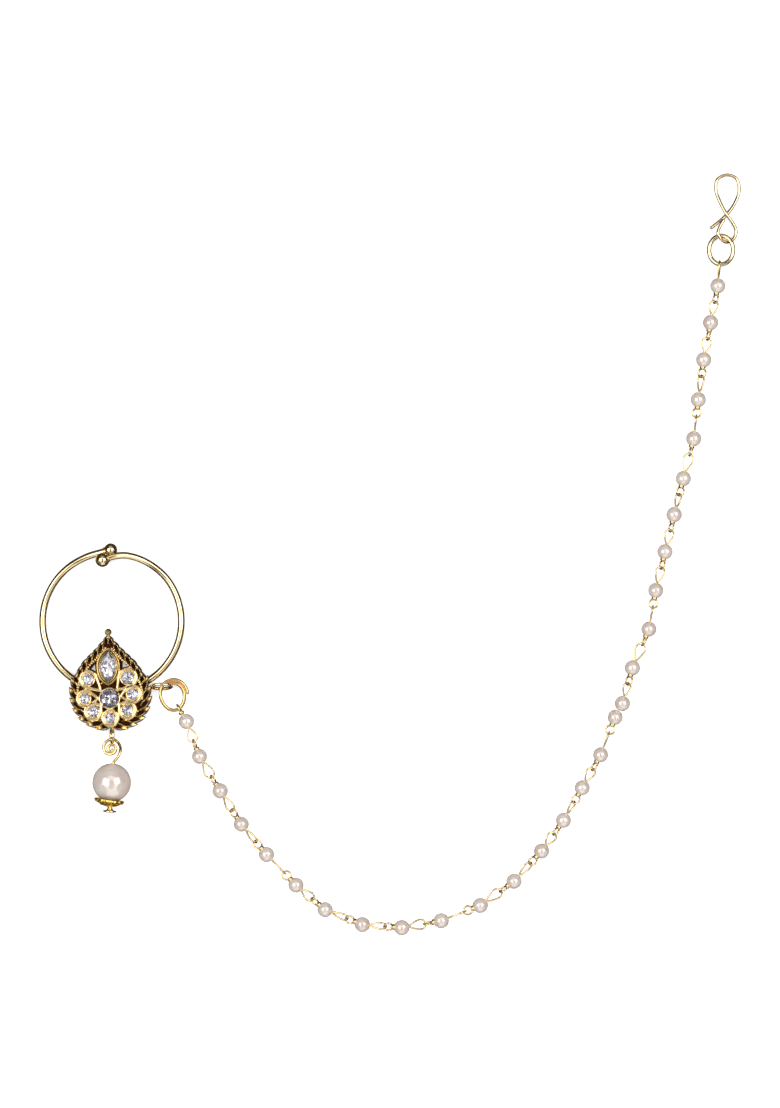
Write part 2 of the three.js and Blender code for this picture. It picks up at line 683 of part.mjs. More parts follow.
/** The links of a stretch of chain, joined where each eye hangs in the next. */
function addChainLinks() {
  LINK_NODES.forEach(([from, to], node) => {
    const parts = [];
    for (let bead = from; bead <= to; bead += 1) {
      const last = bead === PAIR ? PAIR + 1 : bead;
      parts.push(...linkParts(bead, last, from, to));
      bead = last;
    }
    addPiece(`chain_links_${node + 1}`, geometryOf(joined(parts)), paleGold);
  });
}

// ---- assembly ----------------------------------------------------------------------------

addHoopAndPlaque();
addStones();
addDropPin();
addDropPearl();
addDropCap();
addChainRing();
addChainPearls();
addChainLinks();
addEndRing();
addHairHook();

root.updateMatrixWorld(true);
const outline = new THREE.Box3().setFromObject(root, true);
const middle = outline.getCenter(new THREE.Vector3());
root.position.set(-middle.x, -middle.y, -outline.min.z);

export default root;
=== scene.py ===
"""The finished look of a nath: a nose hoop with a stone-set plaque, a pearl drop and a pearl chain."""

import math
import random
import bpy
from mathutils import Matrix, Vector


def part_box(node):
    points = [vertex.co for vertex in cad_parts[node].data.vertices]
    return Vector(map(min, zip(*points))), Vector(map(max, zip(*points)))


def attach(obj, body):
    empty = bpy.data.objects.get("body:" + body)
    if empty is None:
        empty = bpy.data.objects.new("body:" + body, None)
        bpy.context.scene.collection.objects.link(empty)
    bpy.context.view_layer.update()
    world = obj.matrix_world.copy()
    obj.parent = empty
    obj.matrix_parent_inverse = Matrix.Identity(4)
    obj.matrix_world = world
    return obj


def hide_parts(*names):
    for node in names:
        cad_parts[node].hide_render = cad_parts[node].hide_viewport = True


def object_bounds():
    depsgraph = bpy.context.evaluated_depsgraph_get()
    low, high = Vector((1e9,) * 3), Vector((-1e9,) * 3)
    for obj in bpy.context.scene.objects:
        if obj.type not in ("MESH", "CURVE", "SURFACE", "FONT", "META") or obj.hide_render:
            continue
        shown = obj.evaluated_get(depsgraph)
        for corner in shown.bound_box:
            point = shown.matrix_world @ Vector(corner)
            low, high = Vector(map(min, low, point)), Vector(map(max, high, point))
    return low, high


bl_info = {
    "name": "Nath Nose Ring",
    "version": (1, 0, 0),
    "blender": (4, 5, 0),
    "location": "View3D > Sidebar > Nath",
    "description": "Makes the hoop, plaque, stones, drop, chain and hook of a nath around its frame",
    "category": "Object",
}

import bmesh
import bpy
from mathutils import Matrix, Vector

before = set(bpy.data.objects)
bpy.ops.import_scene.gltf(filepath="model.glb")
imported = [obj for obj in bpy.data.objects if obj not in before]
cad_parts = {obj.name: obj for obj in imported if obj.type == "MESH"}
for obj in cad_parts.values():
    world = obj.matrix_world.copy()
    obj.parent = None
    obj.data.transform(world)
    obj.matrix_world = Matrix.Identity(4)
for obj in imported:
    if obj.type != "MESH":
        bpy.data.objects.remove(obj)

MM = 0.001
Z_AXIS = Vector((0, 0, 1))


# ---- places taken from the frame -----------------------------------------------------------


def node_box(node):
    """The lowest and highest corners of a node, in metres."""
    low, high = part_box(node)
    return Vector(low), Vector(high)


def node_centre(node):
    low, high = node_box(node)
    return (low + high) / 2


BACK_BALL_REACH = 20.4 * MM  # from the hoop's centre to the far side of its back ball
HOOP_LOW, HOOP_HIGH = node_box("hoop_and_plaque")
HOOP_CENTRE = Vector(((HOOP_LOW.x + HOOP_HIGH.x) / 2, HOOP_HIGH.y - BACK_BALL_REACH, 0))
BEAD_NODES = sorted(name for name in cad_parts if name.startswith("chain_pearl_"))
LINK_NODES = sorted(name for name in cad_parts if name.startswith("chain_links_"))
SIDE_STONE_NODES = sorted(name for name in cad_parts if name.startswith("side_stone_"))
WHOLE_LOW, WHOLE_HIGH = [Vector(corner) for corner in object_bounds()]


def at(x, y, z=0.0):
    """A place given in millimetres from the hoop's centre, and from the surface."""
    return HOOP_CENTRE + Vector((x, y, z)) * MM


# ---- sizes and colours that a user would change ----------------------------------------------


def length_property(name, description, millimetres):
    return bpy.props.FloatProperty(
        name=name, description=description, default=millimetres * MM, min=0, unit="LENGTH", precision=5
    )


def colour_property(name, description, colour):
    return bpy.props.FloatVectorProperty(
        name=name, description=description, default=colour, size=3, min=0, max=1, subtype="COLOR"
    )


class NathSizes(bpy.types.PropertyGroup):
    """Sizes of the piece that can be changed without moving any part of it"""

    hoop_wire: length_property("Hoop Wire", "Thickness of the hoop's wire", 1.75)
    link_wire: length_property("Link Wire", "Thickness of the chain's wire links", 0.46)
    hook_wire: length_property("Hook Wire", "Thickness of the hair hook's wire", 0.8)
    leaf_length: length_property("Leaf Length", "Length of a full-sized leaf of the border", 4.6)
    leaf_width: length_property("Leaf Width", "Width of a full-sized leaf of the border", 2.1)
    leaf_splay: bpy.props.FloatProperty(
        name="Leaf Splay",
        description="How far the leaves open away from the edge",
        default=math.radians(27),
        subtype="ANGLE",
    )
    rope_twist: bpy.props.FloatProperty(
        name="Rope Twist", description="Turns of the twisted border in each centimetre", default=7.5, min=0
    )


class NathFinishes(bpy.types.PropertyGroup):
    """Colours of the metals, the pearls and the stones, with the patina and painted shade of the hollows and
    the stones' painted reflections
    """

    antique_gold: colour_property("Antique Gold", "Plating of the hoop and plaque", (0.95, 0.75, 0.42))
    # Patina and painted shade: the colour mixed into hollows, the feet of rims and the leaves' edges and
    # undersides.
    patina_and_shade: colour_property("Patina", "Darkening in the recesses", (0.04, 0.014, 0.005))
    orange_gold: colour_property("Warm Gold", "Plating of the chain ring", (0.98, 0.60, 0.22))
    pale_gold: colour_property("Pale Gold", "Colour of the thin wires", (1.0, 0.75, 0.35))
    bright_gold: colour_property("Bright Gold", "Plating of the pearl cap", (1.0, 0.70, 0.16))
    pearl: colour_property("Pearl", "Body colour of the pearls", (0.85, 0.765, 0.70))
    blush: colour_property("Blush", "Warmer clouding of the pearls", (0.76, 0.59, 0.51))
    # The stones' bright and dark facet colours are painted reflections.
    stone: colour_property("Stone", "Bright facets of the stones", (0.93, 0.92, 0.96))
    stone_dark_reflection: colour_property("Stone Dark", "Dark facets of the stones", (0.10, 0.08, 0.15))


# ---- paths and shells --------------------------------------------------------------------------


def smooth_path(points, steps, closed=False):
    """A centripetal Catmull-Rom path through the points, evenly spaced."""
    points = [Vector(p) for p in points]
    count = len(points)
    if closed:
        guide = [points[-1], *points, points[0], points[1]]
    else:
        guide = [2 * points[0] - points[1], *points, 2 * points[-1] - points[-2]]
    fine = []
    per_span = max(4, 4 * steps // count)
    for i in range(len(guide) - 3):
        p0, p1, p2, p3 = guide[i : i + 4]
        t1 = (p1 - p0).length ** 0.5 or 1e-9
        t2 = t1 + ((p2 - p1).length ** 0.5 or 1e-9)
        t3 = t2 + ((p3 - p2).length ** 0.5 or 1e-9)
        for j in range(per_span):
            t = t1 + (t2 - t1) * j / per_span
            a1 = p0 * (t1 - t) / t1 + p1 * t / t1
            a2 = p1 * (t2 - t) / (t2 - t1) + p2 * (t - t1) / (t2 - t1)
            a3 = p2 * (t3 - t) / (t3 - t2) + p3 * (t - t2) / (t3 - t2)
            b1 = a1 * (t2 - t) / t2 + a2 * t / t2
            b2 = a2 * (t3 - t) / (t3 - t1) + a3 * (t - t1) / (t3 - t1)
            fine.append(b1 * (t2 - t) / (t2 - t1) + b2 * (t - t1) / (t2 - t1))
    fine.append(points[0] if closed else points[-1])
    return even_path(fine, steps, closed)


def even_path(points, steps, closed=False):
    """The same path with its points spaced evenly."""
    reach = [0.0]
    for a, b in zip(points, points[1:]):
        reach.append(reach[-1] + (b - a).length)
    spaced = []
    span = 0
    for k in range(steps if closed else steps + 1):
        wanted = reach[-1] * k / steps
        while span < len(points) - 2 and reach[span + 1] < wanted:
            span += 1
        run = reach[span + 1] - reach[span] or 1e-12
        spaced.append(points[span].lerp(points[span + 1], (wanted - reach[span]) / run))
    return spaced


class Shell:
    """Closed surfaces gathered into one mesh, with how much patina and painted shade darken each of their
    points.
    """

    def __init__(self):
        self.points = []
        self.faces = []
        self.shade_and_patina = []

    def add(self, points, faces, shade_and_patina=0.0):
        first = len(self.points)
        self.points.extend(points)
        self.faces.extend([tuple(first + i for i in face) for face in faces])
        # The darkening kept on the points stands for patina together with painted shade.
        if isinstance(shade_and_patina, float):
            shade_and_patina = [shade_and_patina] * len(points)
        self.shade_and_patina.extend(shade_and_patina)

    def tube(self, path, radius, sides=20, closed=False, dome=True):
        """A round wire along a path, with domed ends where it is open."""
        path = [Vector(p) for p in path]
        count = len(path)
        rings = []
        side = None
        for i, spot in enumerate(path):
            if closed:
                along = (path[(i + 1) % count] - path[i - 1]).normalized()
            else:
                along = (path[min(i + 1, count - 1)] - path[max(i - 1, 0)]).normalized()
            if side is None:
                side = along.cross(Z_AXIS if abs(along.z) < 0.9 else Vector((1, 0, 0))).normalized()
            side = (side - along * side.dot(along)).normalized()
            rings.append((spot, along, side, radius))
        if closed:
            twist = self.closing_twist(rings)
        elif dome:
            rings = self.domed(rings, radius)
        points = []
        for i, (spot, along, side, wide) in enumerate(rings):
            other = along.cross(side)
            turn = twist * i / count if closed else 0.0
            for j in range(sides):
                angle = 2 * math.pi * j / sides + turn
                points.append(spot + (side * math.cos(angle) + other * math.sin(angle)) * wide)
        faces = []
        last = len(rings) if closed else len(rings) - 1
        for i in range(last):
            a, b = i * sides, ((i + 1) % len(rings)) * sides
            for j in range(sides):
                k = (j + 1) % sides
                faces.append((a + j, a + k, b + k, b + j))
        if not closed:
            faces.append(tuple(range(sides - 1, -1, -1)))
            faces.append(tuple(range((len(rings) - 1) * sides, len(rings) * sides)))
        self.add(points, faces)

    @staticmethod
    def closing_twist(rings):
        """The turn that makes the last ring of a closed wire meet the first."""
        _, along, first, _ = rings[0]
        last = rings[-1][2]
        last = (last - along * last.dot(along)).normalized()
        return math.atan2(along.dot(last.cross(first)), last.dot(first))

    @staticmethod
    def domed(rings, radius):
        """Rings added at both ends, so that a cut wire is rounded off."""
        start, finish = [], []
        for angle in (75, 50, 25):
            reach = radius * math.sin(math.radians(angle)) * 0.6
            wide = radius * math.cos(math.radians(angle))
            spot, along, side, _ = rings[0]
            start.append((spot - along * reach, along, side, wide))
            spot, along, side, _ = rings[-1]
            finish.insert(0, (spot + along * reach, along, side, wide))
        return start + rings + finish

    def lathe(self, profile, sides, place, shade_and_patina=None, ripple=None):
        """A profile of (radius, height) turned about Z, closed on itself or on the axis."""
        points, dark, rows = [], [], []
        for row, (radius, height) in enumerate(profile):
            value = shade_and_patina[row] if shade_and_patina else 0.0
            if radius < 1e-9:
                rows.append([len(points)] * sides)
                points.append(place @ Vector((0, 0, height)))
                dark.append(value)
                continue
            rows.append(list(range(len(points), len(points) + sides)))
            for j in range(sides):
                angle = 2 * math.pi * j / sides
                wide = radius * (1 + (ripple(row, angle) if ripple else 0.0))
                points.append(place @ Vector((wide * math.cos(angle), wide * math.sin(angle), height)))
                dark.append(value)
        on_axis = profile[0][0] < 1e-9 and profile[-1][0] < 1e-9
        faces = []
        for r in range(len(rows) - 1 if on_axis else len(rows)):
            low, high = rows[r], rows[(r + 1) % len(rows)]
            for j in range(sides):
                k = (j + 1) % sides
                corners = []
                for index in (low[j], low[k], high[k], high[j]):
                    if index not in corners:
                        corners.append(index)
                faces.append(tuple(corners))
        self.add(points, faces, dark)

    def rim(self, outline, profile):
        """A raised rim around a closed outline; profile rows are offset, height and darkening by patina and
        painted shade.
        """
        count = len(outline)
        points, dark = [], []
        for i, spot in enumerate(outline):
            along = (outline[(i + 1) % count] - outline[i - 1]).normalized()
            out = Vector((along.y, -along.x))
            for offset, height, value in profile:
                flat = spot + out * offset * MM
                points.append(Vector((flat.x, flat.y, height * MM)))
                dark.append(value)
        faces = []
        rows = len(profile)
        for i in range(count):
            a, b = i * rows, ((i + 1) % count) * rows
            for j in range(rows):
                k = (j + 1) % rows
                faces.append((a + j, b + j, b + k, a + k))
        self.add(points, faces, dark)

    def piece(self, name, material, sharp=40):
        """Make the object, smooth but for edges sharper than the angle."""
        mesh = bpy.data.meshes.new(name)
        mesh.from_pydata(self.points, [], self.faces)
        mesh.validate()
        sunk = mesh.attributes.new("shade_and_patina", "FLOAT", "POINT")
        sunk.data.foreach_set("value", self.shade_and_patina)
        return finished(name, mesh, material, sharp)


def scene_object(name, data):
    """An object made of that data, at the origin."""
    piece = bpy.data.objects.new(name, data)
    bpy.context.scene.collection.objects.link(piece)
    return piece


def rework(mesh, change):
    """Open a mesh for one change and close it again."""
    parts = bmesh.new()
    parts.from_mesh(mesh)
    change(parts)
    parts.to_mesh(mesh)
    parts.free()


def finished(name, mesh, material, sharp=40):
    """An object at the origin with its faces outward and its material on."""
    if sharp:
        mesh.shade_smooth()
        mesh.set_sharp_from_angle(angle=math.radians(sharp))
    else:
        mesh.shade_flat()
    mesh.materials.clear()
    mesh.materials.append(material)
    piece = scene_object(name, mesh)
    rework(mesh, lambda parts: bmesh.ops.recalc_face_normals(parts, faces=parts.faces))
    return piece


def settle(piece, slot, *nodes):
    """Hang a piece under the root body and hide the nodes it stands for; the slot is not used."""
    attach(piece, "root")
    if nodes:
        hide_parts(*nodes)


def heading(angle):
    """One step in the plane, in the direction of an angle."""
    return Vector((math.cos(angle), math.sin(angle)))


def around(count, start=0.0):
    """The angles of evenly spaced places round a circle; start is in steps."""
    return [2 * math.pi * (k + start) / count for k in range(count)]


def circle(centre, radius, steps):
    return [centre + heading(angle) * radius for angle in around(steps)]


def standing(centre, axis):
    """The place of a turned shape whose Z runs along an axis."""
    return Matrix.Translation(centre) @ axis.to_track_quat("Z", "Y").to_matrix().to_4x4()


# ---- geometry node trees ------------------------------------------------------------------------


def new_tree(kind, name, inputs, outputs):
    """An empty node group whose sockets are named and sorted, with its inputs and outputs."""
    tree = bpy.data.node_groups.new(name, kind)
    for way, sockets in (("INPUT", inputs), ("OUTPUT", outputs)):
        for label, sort in sockets.items():
            tree.interface.new_socket(name=label, in_out=way, socket_type=f"NodeSocket{sort}")
    return tree, tree.nodes.new("NodeGroupInput").outputs, tree.nodes.new("NodeGroupOutput").inputs


def shape_tree(name, inputs):
    """An empty geometry tree with the named inputs and a finish."""
    inputs = {"Geometry": "Geometry", **inputs, "Finish": "Material"}
    return new_tree("GeometryNodeTree", name, inputs, {"Geometry": "Geometry"})


def fill(tree, socket, value):
    """Link a socket to another one, or give it a value."""
    if isinstance(value, bpy.types.NodeSocket):
        tree.links.new(value, socket)
    else:
        socket.default_value = value


def add_node(tree, kind, settings=None, **values):
    """A node with its settings, and its inputs given as values or as sockets to link."""
    node = tree.nodes.new(kind)
    for key, value in (settings or {}).items():
        setattr(node, key, value)
    for label, value in values.items():
        fill(tree, node.inputs[label.replace("_", " ")], value)
    return node


def reckoned(tree, operation, *values, clamp=False):
    """The result of an operation on numbers or sockets."""
    node = add_node(tree, "ShaderNodeMath", {"operation": operation, "use_clamp": clamp})
    for socket, value in zip(node.inputs, values):
        fill(tree, socket, value)
    return node.outputs[0]


def scaled(tree, vector, amount):
    node = add_node(tree, "ShaderNodeVectorMath", {"operation": "SCALE"}, Scale=amount)
    tree.links.new(vector, node.inputs[0])
    return node.outputs[0]


def ranged(tree, value, low, high, **more):
    """A value moved from its own range, 0 to 1 unless given, to one from low to high."""
    node = add_node(tree, "ShaderNodeMapRange", Value=value, To_Min=low, To_Max=high, **more)
    return node.outputs["Result"]


def eased(tree, value, low, high, **more):
    """The same, with a soft start and end."""
    result = ranged(tree, value, low, high, **more)
    result.node.interpolation_type = "SMOOTHSTEP"
    return result


def attribute_vector(tree, name):
    node = add_node(tree, "GeometryNodeInputNamedAttribute", {"data_type": "FLOAT_VECTOR"}, Name=name)
    return node.outputs["Attribute"]


def copies(tree, points, pattern, turn, size):
    """A copy of an object's shape on every point, turned and sized."""
    shape = add_node(tree, "GeometryNodeObjectInfo", Object=pattern).outputs["Geometry"]
    kind = "GeometryNodeInstanceOnPoints"
    return add_node(tree, kind, Points=points, Instance=shape, Rotation=turn, Scale=size).outputs["Instances"]


def resampled(tree, curve, count):
    return add_node(tree, "GeometryNodeResampleCurve", Curve=curve, Count=count).outputs["Curve"]


def swept(tree, path, section):
    """A mesh of a section drawn along a path, with its ends closed."""
    kind = "GeometryNodeCurveToMesh"
    return add_node(tree, kind, Curve=path, Profile_Curve=section, Fill_Caps=True).outputs["Mesh"]


def end_tree(tree, given, result, geometry):
    """Realize what was made, give it its material and put it out."""
    real = add_node(tree, "GeometryNodeRealizeInstances", Geometry=geometry).outputs["Geometry"]
    done = add_node(tree, "GeometryNodeSetMaterial", Geometry=real, Material=given["Finish"])
    tree.links.new(done.outputs["Geometry"], result["Geometry"])
    return tree


def set_out_tree():
    """A copy of one shape on every point, turned by its aim and scaled by its stretch."""
    inputs = {"Shape": "Object", "Uneven": "Float", "Seed": "Int"}
    tree, given, result = shape_tree("Set Out Pieces", inputs)
    size = add_node(tree, "FunctionNodeRandomValue", {"data_type": "FLOAT"}, Seed=given["Seed"])
    smallest, largest = size.inputs[2], size.inputs[3]
    fill(tree, smallest, reckoned(tree, "SUBTRACT", 1.0, given["Uneven"]))
    fill(tree, largest, 1.0)
    scale = scaled(tree, attribute_vector(tree, "stretch"), size.outputs[1])
    made = copies(tree, given["Geometry"], given["Shape"], attribute_vector(tree, "aim"), scale)
    return end_tree(tree, given, result, made)


def wire_eye_tree():
    """A bent wire on every point: the bend is stretched first, so the wire stays round."""
    tree, given, result = shape_tree("Wire Eyes", {"Bend": "Object", "Wire": "Float", "Sides": "Int"})
    aim, stretch = attribute_vector(tree, "aim"), attribute_vector(tree, "stretch")
    bends = copies(tree, given["Geometry"], given["Bend"], aim, stretch)
    bends = add_node(tree, "GeometryNodeRealizeInstances", Geometry=bends).outputs["Geometry"]
    half = reckoned(tree, "MULTIPLY", given["Wire"], 0.5)
    section = add_node(tree, "GeometryNodeCurvePrimitiveCircle", Resolution=given["Sides"], Radius=half)
    return end_tree(tree, given, result, swept(tree, bends, section.outputs["Curve"]))


def leaf_row_tree():
    """Leaves along an edge, each splayed from it, that grow smaller towards its end."""
    inputs = {
        "Leaf": "Object",
        "Count": "Int",
        "Splay": "Float",
        "Lift": "Float",
        "First Size": "Float",
        "Last Size": "Float",
    }
    tree, given, result = shape_tree("Leaf Row", inputs)
    edge = resampled(tree, given["Geometry"], given["Count"])
    tangent = add_node(tree, "GeometryNodeInputTangent").outputs["Tangent"]
    settings = {"axis": "X", "pivot_axis": "Z"}
    facing = add_node(tree, "FunctionNodeAlignRotationToVector", settings, Vector=tangent)
    turned = add_node(
        tree,
        "FunctionNodeRotateRotation",
        {"rotation_space": "LOCAL"},
        Rotation=facing.outputs["Rotation"],
        Rotate_By=add_node(tree, "ShaderNodeCombineXYZ", Y=given["Lift"], Z=given["Splay"]).outputs[0],
    )
    along = add_node(tree, "GeometryNodeSplineParameter").outputs["Factor"]
    size = eased(tree, along, given["First Size"], given["Last Size"])
    leaves = copies(tree, edge, given["Leaf"], turned.outputs["Rotation"], size)
    return end_tree(tree, given, result, leaves)


ROPE_SIDES = 12
ROPE_FLATTENING = (0.5, 0.27, 0.5)  # makes the round section an oval, so that a twist shows


def rope_tree():
    """A flat wire twisted into a rope along a path."""
    tree, given, result = shape_tree("Twisted Rope", {"Thickness": "Float", "Twist": "Float", "Steps": "Int"})
    path = resampled(tree, given["Geometry"], given["Steps"])
    along = add_node(tree, "GeometryNodeSplineParameter").outputs["Length"]
    turn = reckoned(tree, "MULTIPLY", along, given["Twist"])
    twisted = add_node(tree, "GeometryNodeSetCurveTilt", Curve=path, Tilt=turn).outputs["Curve"]
    kind = "GeometryNodeCurvePrimitiveCircle"
    section = add_node(tree, kind, Resolution=ROPE_SIDES, Radius=given["Thickness"]).outputs["Curve"]
    flat = add_node(tree, "GeometryNodeTransform", Geometry=section, Scale=ROPE_FLATTENING)
    return end_tree(tree, given, result, swept(tree, twisted, flat.outputs["Geometry"]))


def plain_mesh(host):
    """The evaluated shape of a host object as a plain mesh."""
    bpy.context.view_layer.update()
    depsgraph = bpy.context.evaluated_depsgraph_get()
    return bpy.data.meshes.new_from_object(host.evaluated_get(depsgraph), depsgraph=depsgraph)


def grown(name, host, tree, values, sharp):
    """Run a tree on a host object and keep the result as a plain mesh."""
    modifier = host.modifiers.new(tree.name, "NODES")
    modifier.node_group = tree
    for item in tree.interface.items_tree:
        if item.item_type == "SOCKET" and item.in_out == "INPUT" and item.name in values:
            modifier[item.identifier] = values[item.name]
    mesh = plain_mesh(host)
    host.modifiers.remove(modifier)
    bpy.data.objects.remove(host)
    return finished(name, mesh, values["Finish"], sharp)


def point_cloud(name, rows):
    """Loose points with an aim and a stretch each, for a tree to set pieces on."""
    mesh = bpy.data.meshes.new(name)
    mesh.from_pydata([spot for spot, _, _ in rows], [], [])
    aims = mesh.attributes.new("aim", "FLOAT_VECTOR", "POINT")
    aims.data.foreach_set("vector", [part for _, aim, _ in rows for part in aim])
    sizes = mesh.attributes.new("stretch", "FLOAT_VECTOR", "POINT")
    sizes.data.foreach_set("vector", [part for _, _, size in rows for part in size])
    return scene_object(name, mesh)


def set_out(name, pattern, rows, uneven, seed, finish, sharp=80):
    """A copy of a pattern on each row's point; the pattern is used up."""
    values = {"Shape": pattern, "Uneven": uneven, "Seed": seed, "Finish": finish}
    piece = grown(name, point_cloud(f"{name}_points", rows), set_out_tree(), values, sharp)
    bpy.data.objects.remove(pattern)
    return piece


def grain(spot, size):
    """The row that sets a round grain of a size, in millimetres, at a spot."""
    return spot, (0.0, 0.0, 0.0), [size * MM] * 3


def path_curve(name, points):
    """A curve object of straight steps through the points."""
    data = bpy.data.curves.new(name, "CURVE")
    data.dimensions = "3D"
    spline = data.splines.new("POLY")
    spline.points.add(len(points) - 1)
    for point, spot in zip(spline.points, points):
        point.co = (*spot, 1.0)
    return scene_object(name, data)


def small_ball():
    """A sphere of unit diameter with few faces, for grains and claws."""
    shell = Shell()
    profile = [(0.0, -0.5)]
    for angle in (-60, -30, 0, 30, 60):
        profile.append((0.5 * math.cos(math.radians(angle)), 0.5 * math.sin(math.radians(angle))))
    profile.append((0.0, 0.5))
    shell.lathe(profile, 12, Matrix.Identity(4))
    return shell.piece("ball_pattern", None, 80)


# ---- shader groups and materials ------------------------------------------------------------------

DARKENED_DULLING = 0.35  # how much rougher the metal is where it is fully darkened
BUMP_DEPTH = 0.02 * MM
SURFACE = {"Color": "Color", "Roughness": "Float", "Height": "Float"}


def clouds(tree, scale, detail, **more):
    """Soft noise in the piece's own coordinates."""
    place = add_node(tree, "ShaderNodeTexCoord").outputs["Object"]
    noise = add_node(tree, "ShaderNodeTexNoise", Vector=place, Scale=scale, Detail=detail, **more)
    return noise.outputs["Fac"]


def blended(tree, amount, first, second):
    """A colour between two."""
    node = add_node(tree, "ShaderNodeMix", {"data_type": "RGBA"})
    for index, value in ((0, amount), (6, first), (7, second)):
        fill(tree, node.inputs[index], value)
    return node.outputs[2]


def face_value(tree, name):
    return add_node(tree, "ShaderNodeAttribute", {"attribute_name": name}).outputs["Fac"]


def plating_group():
    """Plated metal: patina and painted shade where a darkening value kept on the mesh marks it, and faint
    uneven polish.
    """
    inputs = {"Plate": "Color", "Patina": "Color", "Patina Amount": "Float", "Polish": "Float"}
    tree, given, result = new_tree("ShaderNodeTree", "Patina And Shade Plating", inputs, SURFACE)
    cloud = clouds(tree, 900.0, 3.0, Roughness=0.6)
    grain = clouds(tree, 5200.0, 2.0)
    # Darkening by the value kept on the mesh's points: patina together with painted shade in hollows, creases
    # and under edges.
    dark = reckoned(tree, "MULTIPLY", face_value(tree, "shade_and_patina"), ranged(tree, cloud, 0.92, 1.25))
    amount = reckoned(tree, "MULTIPLY", dark, given["Patina Amount"], clamp=True)
    shade = ranged(tree, cloud, 0.86, 1.1)
    tone = add_node(tree, "ShaderNodeHueSaturation", Color=given["Plate"], Value=shade)
    colour = blended(tree, amount, tone.outputs["Color"], given["Patina"])
    rough = reckoned(tree, "ADD", given["Polish"], ranged(tree, grain, -0.04, 0.06))
    duller = reckoned(tree, "MULTIPLY_ADD", amount, DARKENED_DULLING, rough, clamp=True)
    for label, value in (("Color", colour), ("Roughness", duller), ("Height", cloud)):
        tree.links.new(value, result[label])
    return tree


def nacre_group():
    """Pearl coat: soft clouds of a warmer tint and a fine uneven skin."""
    inputs = {"Body": "Color", "Blush": "Color", "Cloud Scale": "Float"}
    tree, given, result = new_tree("ShaderNodeTree", "Nacre", inputs, SURFACE)
    cloud = clouds(tree, given["Cloud Scale"], 2.0, Roughness=0.45)
    skin = clouds(tree, 2600.0, 3.0)
    tint = ranged(tree, cloud, 0.0, 0.75, From_Min=0.35, From_Max=0.75)
    colour = blended(tree, tint, given["Body"], given["Blush"])
    rough = ranged(tree, skin, 0.14, 0.22)
    for label, value in (("Color", colour), ("Roughness", rough), ("Height", skin)):
        tree.links.new(value, result[label])
    return tree


GROUPS = {"plating": plating_group, "nacre": nacre_group}


def shared_group(key):
    """The node group of that name, built the first time it is asked for."""
    label = f"shared_{key}"
    group = bpy.data.node_groups.get(label)
    if group is None:
        group = GROUPS[key]()
        group.name = label
    return group


def material_once(name, dress):
    """The material of that name; the first time it is asked for, dress sets its nodes."""
    material = bpy.data.materials.get(name)
    if material is None:
        material = bpy.data.materials.new(name)
        material.use_nodes = True
        tree = material.node_tree
        dress(tree, tree.nodes["Principled BSDF"])
    return material


def group_material(name, key, values, bump, **shader_values):
    """A material whose colour, roughness and bump come from a shared group."""

    def dress(tree, shader):
        for label, value in shader_values.items():
            fill(tree, shader.inputs[label.replace("_", " ")], value)
        group = add_node(tree, "ShaderNodeGroup", {"node_tree": shared_group(key)})
        for label, value in values.items():
            fill(tree, group.inputs[label], value)
        height = group.outputs["Height"]
        relief = add_node(tree, "ShaderNodeBump", Strength=bump, Distance=BUMP_DEPTH, Height=height)
        tree.links.new(group.outputs["Color"], shader.inputs["Base Color"])
        tree.links.new(group.outputs["Roughness"], shader.inputs["Roughness"])
        tree.links.new(relief.outputs["Normal"], shader.inputs["Normal"])

    return material_once(name, dress)


def solid(colour):
    """A colour with its alpha."""
    return (*colour, 1.0)


# Each plating: its colour among the finishes, how strongly patina and painted shade darken its marked places,
# its roughness.
PLATINGS = {
    "antique_gold": ("antique_gold", 1.0, 0.09),
    "warm_gold": ("orange_gold", 0.8, 0.11),
    "pale_gold": ("pale_gold", 0.8, 0.12),
    "bright_gold": ("bright_gold", 0.4, 0.28),
}


def plated(name):
    """One of the platings, all of which share one node group."""
    finishes = bpy.context.scene.nath_finishes
    colour, amount, polish = PLATINGS[name]
    values = {
        "Plate": solid(getattr(finishes, colour)),
        "Patina": solid(finishes.patina_and_shade),
        "Patina Amount": amount,
        "Polish": polish,
    }
    return group_material(f"{name}_plate", "plating", values, 0.08, Metallic=1.0)


def pearl_coat(name, cloud_scale):
    finishes = bpy.context.scene.nath_finishes
    values = {"Body": solid(finishes.pearl), "Blush": solid(finishes.blush), "Cloud Scale": cloud_scale}
    coat = {"Metallic": 0.25, "IOR": 1.55, "Coat_Weight": 0.8, "Coat_Roughness": 0.04}
    return group_material(name, "nacre", values, 0.03, **coat)


def clear_crystal():
    """Clear glass, with the faintest cloud in its polish."""

    def dress(tree, shader):
        tree.links.new(ranged(tree, clouds(tree, 700.0, 2.0), 0.0, 0.04), shader.inputs["Roughness"])
        shader.inputs["Base Color"].default_value = (1.0, 0.99, 1.0, 1.0)
        shader.inputs["IOR"].default_value = 1.56
        shader.inputs["Transmission Weight"].default_value = 1.0

    return material_once("clear_crystal", dress)


def stone_foil():
    """The silvered back of a stone, whose facets are painted reflections, bright or dark by a value kept on
    each face.
    """
    finishes = bpy.context.scene.nath_finishes

    def dress(tree, shader):
        painted_sparkle = clouds(tree, 1400.0, 1.0)
        # Painted reflections: each facet's kept tone, with a fine cloud of painted sparkle.
        brightness = reckoned(tree, "MULTIPLY_ADD", painted_sparkle, 0.3, face_value(tree, "facet_reflection"))
        tone = blended(tree, brightness, solid(finishes.stone_dark_reflection), solid(finishes.stone))
        tree.links.new(tone, shader.inputs["Base Color"])
        shader.inputs["Metallic"].default_value = 0.75
        shader.inputs["Roughness"].default_value = 0.12

    return material_once("stone_foil", dress)


# ---- hoop ------------------------------------------------------------------------------------------

